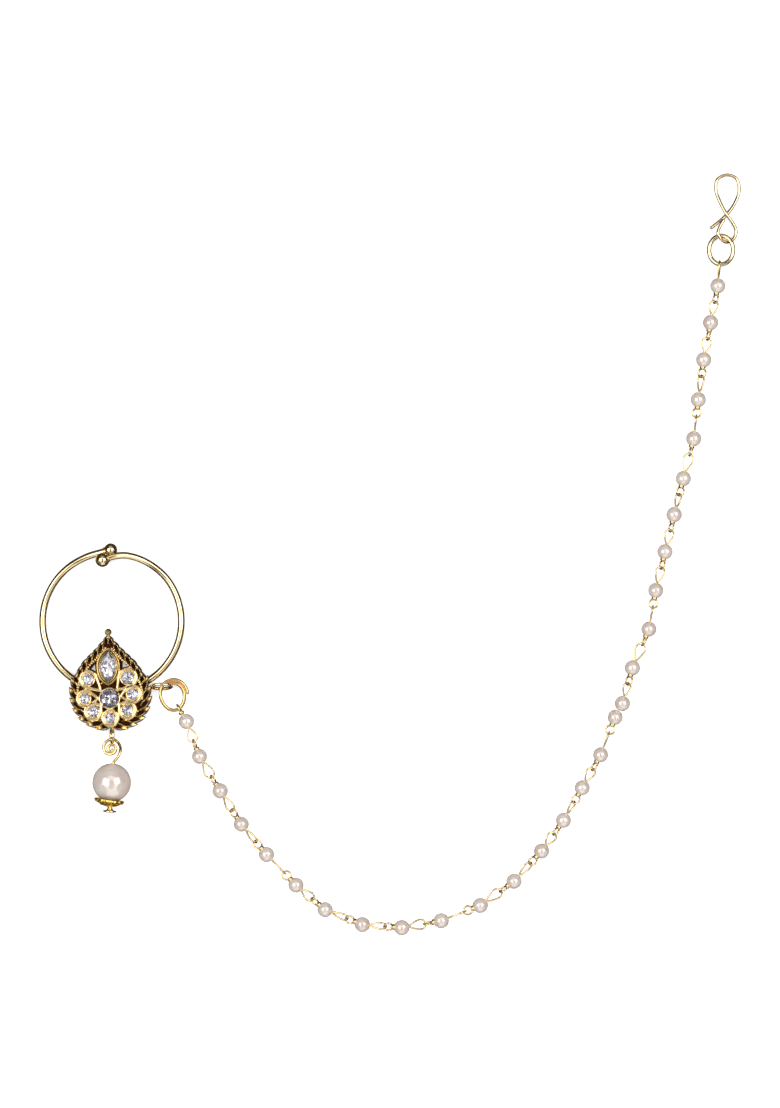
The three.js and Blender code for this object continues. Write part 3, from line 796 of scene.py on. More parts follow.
HOOP_OUTER = 38.0
BACK_BALL = Vector((-0.3, 18.7, 1.75))
BACK_BALL_DIAMETER = 3.4
FRONT_BALL = Vector((-2.3, 16.05, 3.85))
FRONT_BALL_DIAMETER = 3.65
COLLAR_REACH = 0.93  # from a ball's middle, against its radius
COLLAR_SIZE = 0.56  # a collar's radius against the hoop's wire
COLLAR_THICKNESS = 0.16
LOOP_COLLAR = (10.7, -16.95, 2.3)
SIDE_LOOP_WIRE = 0.8
FOOT_LOOP_WIRE = 0.72
SIDE_LEAN = math.radians(70)
FOOT_TURN = math.radians(13)
# The loop that leans on the plaque's right edge and the one on edge under its foot: centre, half axes.
SIDE_LOOP = ((13.0, -16.95, 2.4), (2.6, 0, 0), (0, 1.9 * math.cos(SIDE_LEAN), 1.9 * math.sin(SIDE_LEAN)))
FOOT_LOOP = (
    (0.13, -29.75, 2.6), (0, 1.75, 0), (1.75 * math.sin(FOOT_TURN), 0, 1.75 * math.cos(FOOT_TURN)),
)


def hoop_route(wire):
    """The hoop's middle line, from its back ball round to its front ball, in millimetres."""
    radius = (HOOP_OUTER - wire) / 2
    low = wire / 2 + 0.05
    route = [BACK_BALL]
    for angle in range(112, 401, 18):
        turn = math.radians(angle)
        route.append(Vector((radius * math.cos(turn), radius * math.sin(turn), low)))
    route += [Vector((9.2, 15.4, 1.5)), Vector((4.2, 17.2, 2.9)), Vector((0.6, 17.0, 3.75)), FRONT_BALL]
    return route


def add_ball(shell, centre, diameter):
    """A smooth ball with its poles closed."""
    profile = [(0.0, -diameter / 2)]
    for step in range(1, 16):
        angle = math.pi * step / 16 - math.pi / 2
        profile.append((diameter / 2 * math.cos(angle), diameter / 2 * math.sin(angle)))
    profile.append((0.0, diameter / 2))
    shell.lathe(profile, 32, Matrix.Translation(centre))


def add_collar(shell, centre, towards, radius, thickness):
    """A small ring of metal round a wire, where it meets a ball or the plaque."""
    profile = []
    for angle in around(10):
        profile.append((radius + thickness * math.cos(angle), thickness * 0.8 * math.sin(angle)))
    shell.lathe(profile, 28, standing(centre, towards))


class NATH_OT_hoop(bpy.types.Operator):
    """Make the nose hoop with its ball ends and its soldered loops"""

    bl_idname = "nath.hoop"
    bl_label = "Hoop"

    def execute(self, context):
        sizes = context.scene.nath_sizes
        shell = Shell()
        route = [at(*spot) for spot in hoop_route(sizes.hoop_wire / MM)]
        path = smooth_path(route, 220)
        shell.tube(path, sizes.hoop_wire / 2, sides=28)
        add_ball(shell, at(*BACK_BALL), BACK_BALL_DIAMETER * MM)
        add_ball(shell, at(*FRONT_BALL), FRONT_BALL_DIAMETER * MM)
        for ball, diameter, step in (
            (BACK_BALL, BACK_BALL_DIAMETER, 1),
            (FRONT_BALL, FRONT_BALL_DIAMETER, -1),
        ):
            inward = (path[0 if step > 0 else -1] - path[5 * step]).normalized()
            spot = at(*ball) - inward * diameter / 2 * COLLAR_REACH * MM
            add_collar(shell, spot, inward, sizes.hoop_wire * COLLAR_SIZE, COLLAR_THICKNESS * MM)
        shell.tube(loop(*SIDE_LOOP), SIDE_LOOP_WIRE / 2 * MM, sides=18, closed=True)
        shell.tube(loop(*FOOT_LOOP), FOOT_LOOP_WIRE / 2 * MM, sides=18, closed=True)
        add_collar(shell, at(*LOOP_COLLAR), Vector((1, 0, 0)), 0.5 * MM, 0.28 * MM)
        piece = shell.piece("hoop_wire", plated("antique_gold"))
        settle(piece, "antique_gold", "hoop_and_plaque")
        return {"FINISHED"}


def loop(centre, first, second):
    """A closed oval path about a centre, through the ends of its two half axes."""
    centre, first, second = Vector(centre), Vector(first), Vector(second)
    return [at(*(centre + first * math.cos(angle) + second * math.sin(angle))) for angle in around(60)]


# ---- plaque ----------------------------------------------------------------------------------------

# Half the plaque's width over the leaves at each height, from its foot to its tip.
PLAQUE_ROWS = [
    (-28.7, 2.0), (-27.6, 5.4), (-25.8, 8.1), (-23.2, 9.8), (-20.6, 10.6), (-18.0, 10.8),
    (-15.4, 10.2), (-12.8, 8.8), (-10.2, 7.1), (-7.6, 4.5), (-5.0, 2.2), (-3.1, 0.5),
]
PLAQUE_BACK = 0.95
PLAQUE_GROUND = 2.35
GROUND_INSET = 1.0
GROUND_BEVEL = 0.1
WINDOWS = (
    ((2.75, -9.9), (5.0, -12.6), (3.4, -13.0), (2.7, -12.4)),
    ((-4.3, -10.9), (-4.05, -13.2), (-5.9, -13.0)),
)
WELD_REACH = 1e-7
LEAF_BED = 2.0
LEAF_UNDERSIDE = -0.6
LEAF_STEPS = (20, 14)  # along a leaf and across it
LEAF_LIFT = math.radians(-9)
FINIAL = Vector((-0.9, -2.75, 2.6))
GIRDLE = 3.2
CLAWS = 4
# Grains on the ground between the petals: direction in degrees and reach from the centre stone.
GROUND_GRAINS = (
    (160, 5.4), (197, 5.6), (250, 5.2), (296, 5.2), (347, 5.6), (30, 5.9), (62, 4.6), (118, 4.4),
)
ROPE_INSET = 2.35
ROPE_HEIGHT = 3.05
ROPE_THICKNESS = 0.85
ROPE_STEPS = 150


def plaque_middle(y):
    """How far the plaque's centre line stands off the hoop's, at a height."""
    foot, tip = PLAQUE_ROWS[0][0], PLAQUE_ROWS[-1][0]
    return -0.9 * (y - foot) / (tip - foot)


def plaque_edge(side, inset, height, steps=60):
    """One side of the outline, drawn in by inset, from the foot to the tip, in metres."""
    rows = [Vector((plaque_middle(y) + side * half, y, height)) for y, half in PLAQUE_ROWS]
    path = smooth_path(rows, steps)
    edge = []
    for i, spot in enumerate(path):
        along = (path[min(i + 1, steps)] - path[max(i - 1, 0)]).normalized()
        inward = Vector((-along.y, along.x, 0)) * side
        moved = spot + inward * inset
        limit = plaque_middle(moved.y) + side * 0.12
        moved.x = max(moved.x, limit) if side > 0 else min(moved.x, limit)
        edge.append(at(*moved))
    return edge


def plaque_ground():
    """The sunk ground of the plaque, with the two see-through windows; its upper face is fully darkened by
    patina and painted shade.
    """
    data = bpy.data.curves.new("ground_pattern", "CURVE")
    data.dimensions = "2D"
    data.fill_mode = "BOTH"
    data.extrude = (PLAQUE_GROUND - PLAQUE_BACK) / 2 * MM - GROUND_BEVEL * MM
    data.bevel_depth = GROUND_BEVEL * MM
    data.bevel_resolution = 2
    outlines = [plaque_edge(1, GROUND_INSET, 0.0) + plaque_edge(-1, GROUND_INSET, 0.0)[::-1]]
    outlines += [[at(*corner) for corner in corners] for corners in WINDOWS]
    for outline in outlines:
        spline = data.splines.new("POLY")
        spline.points.add(len(outline) - 1)
        for point, spot in zip(spline.points, outline):
            point.co = (spot.x, spot.y, 0.0, 1.0)
        spline.use_cyclic_u = True
    helper = scene_object("ground_pattern", data)
    mesh = plain_mesh(helper)
    bpy.data.objects.remove(helper)
    middle = (PLAQUE_GROUND + PLAQUE_BACK) / 2 * MM
    mesh.transform(Matrix.Translation((0, 0, middle)))
    rework(mesh, lambda parts: bmesh.ops.remove_doubles(parts, verts=parts.verts, dist=WELD_REACH))
    # The upper face is darkened fully: patina and painted shade of the sunk ground.
    sunk = mesh.attributes.new("shade_and_patina", "FLOAT", "POINT")
    for point, value in zip(mesh.vertices, sunk.data):
        value.value = 1.0 if point.co.z > middle else 0.0
    return finished("plaque_ground", mesh, plated("antique_gold"), 50)


def leaf_pattern(name, length, width, hollow, point):
    """One leaf along +X with a raised rim: hollow deepens it and darkens it with patina and painted shade,
    point sharpens its tip.
    """
    along_steps, across_steps = LEAF_STEPS
    rim_at, rim_spread, pit_half, edge_from = 0.62, 0.24, 0.5, 0.74  # shares of the half width
    shell = Shell()
    points, dark = [], []
    for i in range(along_steps + 1):
        t = i / along_steps
        reach = (t - 0.5) * length
        swell = math.sin(math.pi * t**0.8) ** (0.7 + point * t) if 0 < t < 1 else 0.0
        wide = width / 2 * swell + 0.03 * MM
        for j in range(across_steps + 1):
            v = 2 * j / across_steps - 1
            rim = math.exp(-(((abs(v) - rim_at) / rim_spread) ** 2))
            inside = max(0.0, math.sin(math.pi * min(1.0, t / 0.8)))
            pit = inside * max(0.0, 1 - (abs(v) / pit_half) ** 2)
            fall = 1 - max(0.0, (abs(v) - 0.7) / 0.3) ** 2
            body = 0.55 + 0.55 * math.sin(math.pi * min(1.0, t * 1.15) * 0.85)
            height = (body + 0.45 * rim - (0.25 + 0.3 * hollow) * pit) * fall * MM
            points.append(Vector((reach, v * wide, height)))
            # Patina and painted shade in the pit, and painted shade towards the edges.
            edge_shade = max(0.0, (abs(v) - edge_from) / 0.2)
            dark.append(min(1.0, max(edge_shade, pit * (0.7 + 0.8 * hollow))))
    top = len(points)
    for i in range(along_steps + 1):
        for j in (0, across_steps):
            spot = points[i * (across_steps + 1) + j]
            points.append(Vector((spot.x, spot.y, LEAF_UNDERSIDE * MM)))
            # The leaf's underside: painted shade.
            dark.append(0.9)
    faces = []
    row = across_steps + 1
    for i in range(along_steps):
        for j in range(across_steps):
            a = i * row + j
            faces.append((a, a + row, a + row + 1, a + 1))
        low, high = top + 2 * i, top + 2 * (i + 1)
        faces.append((low, low + 1, high + 1, high))
        faces.append((i * row, low, high, (i + 1) * row))
        faces.append((i * row + row - 1, (i + 1) * row + row - 1, high + 1, low + 1))
    faces.append((top, *range(0, row), top + 1)[::-1])
    last = along_steps * row
    faces.append((top + 2 * along_steps, *range(last, last + row), top + 2 * along_steps + 1))
    shell.add(points, faces, dark)
    return shell.piece(name, None, 60)


# Each stretch of leaves: name, where it starts and ends on the edge, leaves, hollow (depth, patina and
# painted shade), tip, length and width against a full leaf, splay against the full splay, first and last
# size.
LEAF_STRETCHES = [
    ("lower", 1, 31, 7, 0.85, 0.35, 1.0, 1.02, 1.15, 1.0, 0.95),
    ("upper", 33, 59, 7, 1.0, 0.2, 0.7, 0.95, 0.9, 1.0, 0.85),
]


def add_leaves(sizes):
    """Both sides' hollow leaves: long ones round the foot, short ones up to the tip."""
    tree = leaf_row_tree()
    rows = []
    for label, first, last, count, hollow, point, longer, wider, open_by, start, end in LEAF_STRETCHES:
        length, width = sizes.leaf_length * longer, sizes.leaf_width * wider
        leaf = leaf_pattern(f"{label}_leaf", length, width, hollow, point)
        for side, hand in ((1, "right"), (-1, "left")):
            edge = even_path(plaque_edge(side, 1.2, LEAF_BED), 60)
            host = path_curve(f"{label}_edge_{hand}", edge[first:last])
            values = {
                "Leaf": leaf,
                "Count": count,
                "Splay": -side * sizes.leaf_splay * open_by,
                "Lift": LEAF_LIFT,
                "First Size": start,
                "Last Size": end,
                "Finish": plated("antique_gold"),
            }
            rows.append(grown(f"plaque_leaves_{label}_{hand}", host, tree, values, 60))
        bpy.data.objects.remove(leaf)
    return rows


def petal_outline(stone, centre, radius, apex_reach):
    """A drop-shaped outline: a round end about a stone and a point towards the centre."""
    away = stone - centre
    distance = away.length - apex_reach
    course = math.atan2(away.y, away.x)
    apex = centre + away.normalized() * apex_reach
    open_angle = math.acos(min(0.98, radius / distance))
    outline = []
    steps = 36
    for i in range(steps + 1):
        angle = course + math.pi + open_angle + (2 * math.pi - 2 * open_angle) * i / steps
        outline.append(stone + heading(angle) * radius)
    left, right = outline[-1], outline[0]
    sides = (0.25, 0.5, 0.75, 0.94)
    outline += [left.lerp(apex, t) for t in sides]
    outline += [right.lerp(apex, t) for t in reversed(sides)]
    return outline


def marquise_outline(centre, width, length, grow=0.0, steps=20):
    """Two equal arcs that meet in a point at the top and the foot."""
    half, wide = length / 2 + grow, width / 2 + grow
    radius = (half * half + wide * wide) / (2 * wide)
    sweep = math.asin(half / radius)
    outline = []
    for side in (1, -1):
        for i in range(steps):
            angle = -sweep + 2 * sweep * i / steps
            x = side * (radius * math.cos(angle) - (radius - wide))
            outline.append(centre + Vector((x, side * radius * math.sin(angle))))
    return outline


def stone_place(node):
    """The middle of a stone in plan, and its size across."""
    low, high = node_box(node)
    middle = (low + high) / 2
    return Vector((middle.x, middle.y)), high - low


# Rim profiles: offset, height and darkening; the darkening is patina with painted shade at each rim's foot
# and in the marquise rim's groove.
RIDGE = [
    (-0.6, 2.1, 1.0), (-0.55, 2.7, 0.7), (-0.42, 3.2, 0.0), (-0.16, 3.5, 0.0),
    (0.16, 3.5, 0.0), (0.42, 3.2, 0.0), (0.55, 2.7, 0.7), (0.6, 2.1, 1.0),
]
MARQUISE_RIM = [
    (0.02, 2.1, 1.0), (0.02, 3.2, 0.5), (0.08, 3.62, 0.0), (0.2, 3.74, 0.0), (0.34, 3.62, 0.0),
    (0.42, 3.2, 0.9), (0.5, 3.12, 1.0), (0.58, 3.2, 0.9), (0.66, 3.52, 0.0), (0.82, 3.64, 0.0),
    (0.98, 3.5, 0.0), (1.08, 3.1, 0.4), (1.1, 2.1, 1.0),
]
SEAT = [
    (0.0, 2.2, 1.0), (0.0, 3.1, 0.6), (0.06, 3.3, 0.0), (0.2, 3.36, 0.0), (0.33, 3.22, 0.0),
    (0.38, 2.9, 0.7), (0.38, 2.2, 1.0),
]


def add_settings():
    """Raised rims about the marquise, the centre stone and each small stone."""
    shell = Shell()
    centre, across = stone_place("centre_stone")
    radius = across.x / 2
    shell.rim(circle(centre, radius, 64), SEAT)
    marquise, size = stone_place("marquise_stone")
    shell.rim(marquise_outline(marquise, size.x, size.y), MARQUISE_RIM)
    for node in SIDE_STONE_NODES:
        stone, small = stone_place(node)
        small_radius = stone_radius(small)
        shell.rim(circle(stone, small_radius, 40), SEAT)
        apex = radius + 0.45 * MM
        shell.rim(petal_outline(stone, centre, small_radius + 0.7 * MM, apex), RIDGE)
    return shell.piece("plaque_settings", plated("antique_gold"), 50)


def stone_radius(size):
    """The radius of a small stone from its box, whose sides touch facets, not corners."""
    return size.x / 2 / math.cos(math.pi / 8)


def claw_rows():
    """Claws over each stone's edge, and the grains that fill the gaps between petals."""
    centre, across = stone_place("centre_stone")
    claws = [(centre, angle, across.x / 2 + 0.02 * MM, 3.45, 0.5) for angle in around(8, 0.5)]
    for node in SIDE_STONE_NODES:
        stone, small = stone_place(node)
        away = math.atan2(*(stone - centre).yx)
        for angle in around(CLAWS, 0.5):
            claws.append((stone, away + angle, stone_radius(small) + 0.03 * MM, 3.36, 0.42))
    for degrees, reach in GROUND_GRAINS:
        claws.append((centre, math.radians(degrees), reach * MM, 2.5, 0.75))
    rows = []
    for middle, angle, reach, height, size in claws:
        spot = middle + heading(angle) * reach
        rows.append(grain(Vector((spot.x, spot.y, height * MM)), size))
    return rows


def add_finial():
    """The small faceted bead on the plaque's tip, on a neck."""
    shell = Shell()
    place = Matrix.Translation(at(*FINIAL)) @ Matrix.Rotation(math.radians(22.5), 4, "Z")
    profile = [(0.0, -0.8), (0.6, -0.78), (0.9, -0.48), (0.96, 0.0), (0.9, 0.48), (0.6, 0.78), (0.0, 0.8)]
    shell.lathe([(r * MM, h * MM) for r, h in profile], 8, place)
    neck = [at(FINIAL.x, FINIAL.y - 0.3, 2.3), at(FINIAL.x, FINIAL.y - 1.6, 2.2)]
    shell.tube(even_path(neck, 4), 0.45 * MM, sides=14)
    return shell.piece("plaque_finial", plated("antique_gold"), 30)


class NATH_OT_plaque(bpy.types.Operator):
    """Make the plaque: ground, leaf border, twisted border, settings, claws and finial"""

    bl_idname = "nath.plaque"
    bl_label = "Plaque"

    def execute(self, context):
        sizes = context.scene.nath_sizes
        pieces = [plaque_ground(), *add_leaves(sizes), add_settings(), add_finial()]
        rope = rope_tree()
        values = {
            "Thickness": ROPE_THICKNESS * MM,
            "Twist": sizes.rope_twist * 2 * math.pi * 100,
            "Steps": ROPE_STEPS,
            "Finish": plated("antique_gold"),
        }
        for side, label in ((1, "right"), (-1, "left")):
            host = path_curve(f"rope_{label}_path", plaque_edge(side, ROPE_INSET, ROPE_HEIGHT)[22:56])
            pieces.append(grown(f"plaque_rope_{label}", host, rope, values, 60))
        pieces.append(set_out("plaque_claws", small_ball(), claw_rows(), 0.12, 7, plated("antique_gold")))
        for piece in pieces:
            settle(piece, "antique_gold", "hoop_and_plaque")
        return {"FINISHED"}


# ---- stones ----------------------------------------------------------------------------------------


def ring_spots(reach_at, count, share, height, turn=0.0):
    """Points at a share of the way to a stone's edge; height may be a list."""
    levels = height if isinstance(height, list) else [height] * count
    spots = []
    for angle, level in zip(around(count, turn), levels):
        spots.append((heading(angle) * reach_at(angle) * share).to_3d() + Z_AXIS * level)
    return spots


def crown(reach_at, height):
    """The clear top of a brilliant: table, stars, kites and girdle over a flat base."""
    points = ring_spots(reach_at, 8, 0.55, height)
    points += ring_spots(reach_at, 8, 0.8, height * 0.58, 0.5)
    points += ring_spots(reach_at, 16, 1.0, height * 0.12)
    points += ring_spots(reach_at, 16, 1.0, 0.0)
    table, middle, upper, base = 0, 8, 16, 32
    faces = [tuple(range(8)), tuple(range(base + 15, base - 1, -1))]
    for k in range(8):
        after, before = (k + 1) % 8, (k - 1) % 8
        g0, g1, g2 = 2 * k, 2 * k + 1, (2 * k + 2) % 16
        faces.append((table + k, middle + k, table + after))
        faces.append((table + k, middle + before, upper + g0, middle + k))
        faces.append((middle + k, upper + g0, upper + g1))
        faces.append((middle + k, upper + g1, upper + g2))
    for g in range(16):
        h = (g + 1) % 16
        faces.append((upper + g, base + g, base + h, upper + h))
    return points, faces


def foil_cup(reach_at, depth, seed, tones):
    """The silvered facets under a crown, uneven as pressed ones are, on a plain back; each facet gets a
    painted reflection tone.
    """
    chance = random.Random(seed)
    top = -0.03 * MM
    inner = [-depth * chance.uniform(0.35, 1.0) for _ in range(8)]
    outer = [-depth * chance.uniform(0.1, 0.55) for _ in range(16)]
    points = ring_spots(reach_at, 16, 0.985, top)
    points += ring_spots(reach_at, 16, 0.68, outer, 0.5)
    points += ring_spots(reach_at, 8, 0.33, inner, 0.25)
    points += [Vector((0, 0, -depth * 0.75))]
    points += ring_spots(reach_at, 16, 0.985, -depth - 0.1 * MM)
    edge, low, core, middle, back = 0, 16, 32, 40, 41
    faces = []
    for g in range(16):
        h = (g + 1) % 16
        faces.append((edge + g, edge + h, low + g))
        faces.append((low + g, edge + h, low + h))
        faces.append((edge + h, edge + g, back + g, back + h))
    for k in range(8):
        after = (k + 1) % 8
        first, second, third = low + 2 * k, low + (2 * k + 1) % 16, low + (2 * k + 2) % 16
        faces.append((core + k, first, second))
        faces.append((core + k, second, core + after))
        faces.append((core + after, second, third))
        faces.append((middle, core + k, core + after))
    faces.append(tuple(range(back, back + 16)))
    reflection_tones = [chance.choice(tones) for _ in faces]
    return points, faces, reflection_tones


# How each stone is cut: crown height, foil depth, the seed of its facets and their tones, which are painted
# reflections.
CENTRE_CUT = (0.9, 0.9, 11, (0.0, 0.0, 0.15, 0.6, 1.0))
MARQUISE_CUT = (0.85, 0.7, 5, (0.3, 0.9, 1.0, 1.0))
SMALL_CUT = (0.62, 0.65, 20, (0.05, 0.5, 0.8, 0.9, 1.0))


def add_stone(node, reach_at, cut, number=0):
    """A stone in two pieces: its clear crown and the foiled cup under it, whose facets carry painted
    reflections.
    """
    height, depth, seed, tones = cut
    middle, _ = stone_place(node)
    place = Vector((middle.x, middle.y, GIRDLE * MM))
    points, faces = crown(reach_at, height * MM)
    mesh = bpy.data.meshes.new(node)
    mesh.from_pydata([place + p for p in points], [], faces)
    settle(finished(f"{node}_crown", mesh, clear_crystal(), 0), "crystal", node)
    points, faces, reflection_tones = foil_cup(reach_at, depth * MM, seed + number, tones)
    mesh = bpy.data.meshes.new(f"{node}_back")
    mesh.from_pydata([place + p for p in points], [], faces)
    facet_reflection = mesh.attributes.new("facet_reflection", "FLOAT", "FACE")
    facet_reflection.data.foreach_set("value", reflection_tones)
    settle(finished(f"{node}_foil", mesh, stone_foil(), 0), "crystal", node)


class NATH_OT_stones(bpy.types.Operator):
    """Cut the marquise, the centre stone and the seven small stones"""

    bl_idname = "nath.stones"
    bl_label = "Stones"

    def execute(self, context):
        _, across = stone_place("centre_stone")
        radius = across.x / 2 + 0.06 * MM
        add_stone("centre_stone", lambda angle: radius, CENTRE_CUT)
        _, size = stone_place("marquise_stone")
        outline = marquise_outline(Vector((0, 0)), size.x, size.y, 0.03 * MM, 60)

        def marquise_reach(angle):
            def off(spot):
                return abs(math.remainder(math.atan2(spot.y, spot.x) - angle, 2 * math.pi))

            return min(outline, key=off).length

        add_stone("marquise_stone", marquise_reach, MARQUISE_CUT)
        for number, node in enumerate(SIDE_STONE_NODES):
            _, small = stone_place(node)
            small_radius = stone_radius(small) + 0.03 * MM
            add_stone(node, lambda angle, r=small_radius: r, SMALL_CUT, number)
        return {"FINISHED"}


# ---- drop ------------------------------------------------------------------------------------------

DROP_LEAN = math.radians(4)
CAP_LEAN = math.radians(8)
CAP_BELOW = 0.85  # the middle of the bowl's curve, below the pearl's
CAP_OUTER = 5.5  # the bowl's radius of curvature
CAP_INNER = 5.18
CAP_EDGE = 3.8
CAP_LOBES = 12
CAP_ROWS = 9
PIN_WIRE = 0.74
HEAD_AT = 7.25
HEAD = 3.5
# The pin's eye beyond the pearl: up its right side, through the foot loop and curled inside.
DROP_EYE = [
    (1.3, -35.9, 4.9), (2.2, -34.5, 4.7), (2.4, -32.9, 4.0), (1.5, -31.3, 3.0), (0.15, -30.75, 2.6),
    (-1.3, -31.3, 2.6), (-2.1, -32.7, 2.7), (-1.6, -34.1, 2.9), (-0.4, -34.6, 3.1), (0.8, -34.15, 3.25),
    (1.2, -33.1, 3.35), (0.7, -32.3, 3.4), (-0.2, -32.2, 3.4), (-0.85, -32.85, 3.4),
    (-0.7, -33.65, 3.4), (0.0, -33.9, 3.4), (0.4, -33.4, 3.4),
]


def leaning(angle):
    return Vector((-math.sin(angle), -math.cos(angle), 0))


def bored_pearl(name, diameter, bore, sides, rows, material):
    """A pearl about the Z axis, with a rounded lip at each end of its bore."""
    radius = diameter / 2
    start = math.asin(bore / diameter)
    profile = []
    for i in range(rows + 1):
        angle = start + (math.pi - 2 * start) * i / rows
        profile.append((radius * math.sin(angle), -radius * math.cos(angle)))
    lip = 0.06 * diameter
    end = profile[-1][1]
    profile += [(bore / 2 * 0.9, end - lip * 0.4), (bore / 2 * 0.86, end - lip)]
    profile += [(bore / 2 * 0.86, -end + lip), (bore / 2 * 0.9, -end + lip * 0.4)]
    shell = Shell()
    shell.lathe(profile, sides, Matrix.Identity(4))
    return shell.piece(name, material, 60)


class NATH_OT_drop(bpy.types.Operator):
    """Make the drop: the large pearl, its cap and its head pin"""

    bl_idname = "nath.drop"
    bl_label = "Drop"

    def execute(self, context):
        centre = node_centre("drop_pearl")
        low, high = node_box("drop_pearl")
        diameter = high.z - low.z
        pearl = bored_pearl("drop_pearl_coat", diameter, 1.3 * MM, 96, 48, pearl_coat("drop_nacre", 260.0))
        pearl.data.transform(standing(centre, -leaning(DROP_LEAN)))
        settle(pearl, "pearl", "drop_pearl")
        self.add_pin(centre)
        self.add_cap(centre)
        return {"FINISHED"}

    def add_pin(self, centre):
        down = leaning(DROP_LEAN)
        route = [centre + down * reach * MM for reach in (HEAD_AT, 3.0, -2.0, -5.0)]
        route += [at(*spot) for spot in DROP_EYE]
        shell = Shell()
        shell.tube(smooth_path(route, 150), PIN_WIRE / 2 * MM, sides=20)
        place = standing(centre + down * HEAD_AT * MM, down)
        head = HEAD / 2
        disc = [
            (0.0, -1.1), (0.6, -1.05), (0.68, -0.5), (0.85, -0.12), (head * 0.8, 0.0), (head * 0.97, 0.08),
            (head, 0.22), (head * 0.95, 0.38), (head * 0.6, 0.52), (0.0, 0.55),
        ]
        shell.lathe([(r * MM, h * MM) for r, h in disc], 36, place)
        settle(shell.piece("drop_head_pin", plated("pale_gold"), 50), "pale_gold_wire", "drop_pin")

    def add_cap(self, centre):
        """The bowl, whose rim is cut into lobes, with two rings of grains inside it; its inner wall and a
        ring under the pin's head carry painted shade.
        """
        down = leaning(CAP_LEAN)
        place = standing(centre + down * CAP_BELOW * MM, -down)
        profile, dark = [], []
        # Painted shade: the inner wall, against the pearl, is darker, as is a ring round reach 1.3 mm under
        # the pin's head.
        walls = ((CAP_OUTER, 0.8, CAP_EDGE, 0.0), (CAP_INNER, CAP_EDGE - 0.06, 0.8, 0.35))
        for radius, reach_from, reach_to, tone in walls:
            for i in range(CAP_ROWS + 1):
                reach = reach_from + (reach_to - reach_from) * i / CAP_ROWS
                profile.append((reach * MM, -math.sqrt(radius**2 - reach**2) * MM))
                dark.append(max(tone, 0.7 * math.exp(-(((reach - 1.3) / 0.35) ** 2))))

        def ripple(row, angle):
            near_rim = max(0.0, profile[row][0] / (CAP_EDGE * MM) - 0.7) / 0.3
            return 0.07 * near_rim * (abs(math.cos(CAP_LOBES * angle / 2)) - 0.5)

        shell = Shell()
        shell.lathe(profile, 144, place, dark, ripple)
        bowl = shell.piece("drop_cap_bowl", plated("bright_gold"), 50)
        settle(bowl, "bright_gold", "drop_cap")
        grains = []
        for k, angle in enumerate(around(CAP_LOBES * 2)):
            reach, size = (3.5, 0.5) if k % 2 == 0 else (3.2, 0.36)
            grains.append((angle, reach, -math.sqrt(CAP_OUTER**2 - reach**2), size))
        grains += [(angle, 2.0, -5.14, 0.3) for angle in around(16, 0.5)]
        rows = []
        for angle, reach, height, size in grains:
            flat = heading(angle) * reach
            rows.append(grain(place @ (Vector((flat.x, flat.y, height)) * MM), size))
        grains = set_out("drop_cap_grains", small_ball(), rows, 0.05, 3, plated("bright_gold"))
        settle(grains, "bright_gold", "drop_cap")


# ---- rings and hook --------------------------------------------------------------------------------

CHAIN_RING = Vector((16.1, -19.65, 1.54))
CHAIN_RING_HALF = (2.85, 3.55)
CHAIN_RING_LAP = 0.92
CHAIN_RING_WIRE = 0.85
END_RING_WIRE = 1.1
END_RING_SLOPE = (0.18, -0.04)


def smoothstep(value, low, high):
    t = min(1.0, max(0.0, (value - low) / (high - low)))
    return t * t * (3 - 2 * t)


def chain_ring_spot(swept):
    """The chain ring's wire at an angle swept clockwise from its first end, in degrees."""
    angle = math.radians(120 - swept)
    lap = CHAIN_RING_LAP * smoothstep(swept, 240, 355)
    x = (CHAIN_RING_HALF[0] + lap) * math.cos(angle)
    y = (CHAIN_RING_HALF[1] + lap) * math.sin(angle)
    z = CHAIN_RING.z + 0.093 * (-0.75 * x + 0.66 * y)
    return at(CHAIN_RING.x + x, CHAIN_RING.y + y, z)


def end_ring_spot(angle):
    """The end ring's wire at an angle: an oval that fills its node's box."""
    low, high = node_box("end_ring")
    centre = (low + high) / 2
    x = ((high.x - low.x) / 2 - END_RING_WIRE / 2 * MM) * math.cos(angle)
    y = ((high.y - low.y) / 2 - END_RING_WIRE / 2 * MM) * math.sin(angle)
    return centre + Vector((x, y, END_RING_SLOPE[0] * x + END_RING_SLOPE[1] * y))


class NATH_OT_rings(bpy.types.Operator):
    """Make the over-closed chain ring and the oval end ring"""

    bl_idname = "nath.rings"
    bl_label = "Rings"

    def execute(self, context):
        shell = Shell()
        path = [chain_ring_spot(swept) for swept in range(0, 469, 3)]
        shell.tube(path, CHAIN_RING_WIRE / 2 * MM, sides=24)
        settle(shell.piece("chain_jump_ring", plated("warm_gold")), "orange_gold", "chain_ring")
        shell = Shell()
        path = [end_ring_spot(angle) for angle in around(96)]
        shell.tube(path, END_RING_WIRE / 2 * MM, sides=24, closed=True)
        settle(shell.piece("hair_end_ring", plated("antique_gold")), "antique_gold", "end_ring")
        return {"FINISHED"}


# The hook's wire from its free end, round the large bow and back through the end ring.
HOOK_ROUTE = [
    (156.5, 102.8, 0.4), (158.4, 104.3, 0.4), (160.6, 106.3, 0.4), (162.8, 109.4, 0.4),
    (163.9, 112.7, 0.4), (163.2, 115.7, 0.4), (160.8, 116.7, 0.4), (158.3, 115.6, 0.4),
    (157.8, 112.9, 0.4), (159.0, 109.3, 0.9), (160.6, 106.2, 1.45), (162.3, 103.9, 0.9),
    (163.1, 101.9, 0.5), (162.5, 100.1, 0.45), (161.6, 99.4, 0.5), (160.3, 99.1, 1.2),
    (158.9, 100.0, 2.2), (158.2, 101.4, 2.35), (158.8, 103.2, 1.9), (159.8, 104.8, 1.6),
]


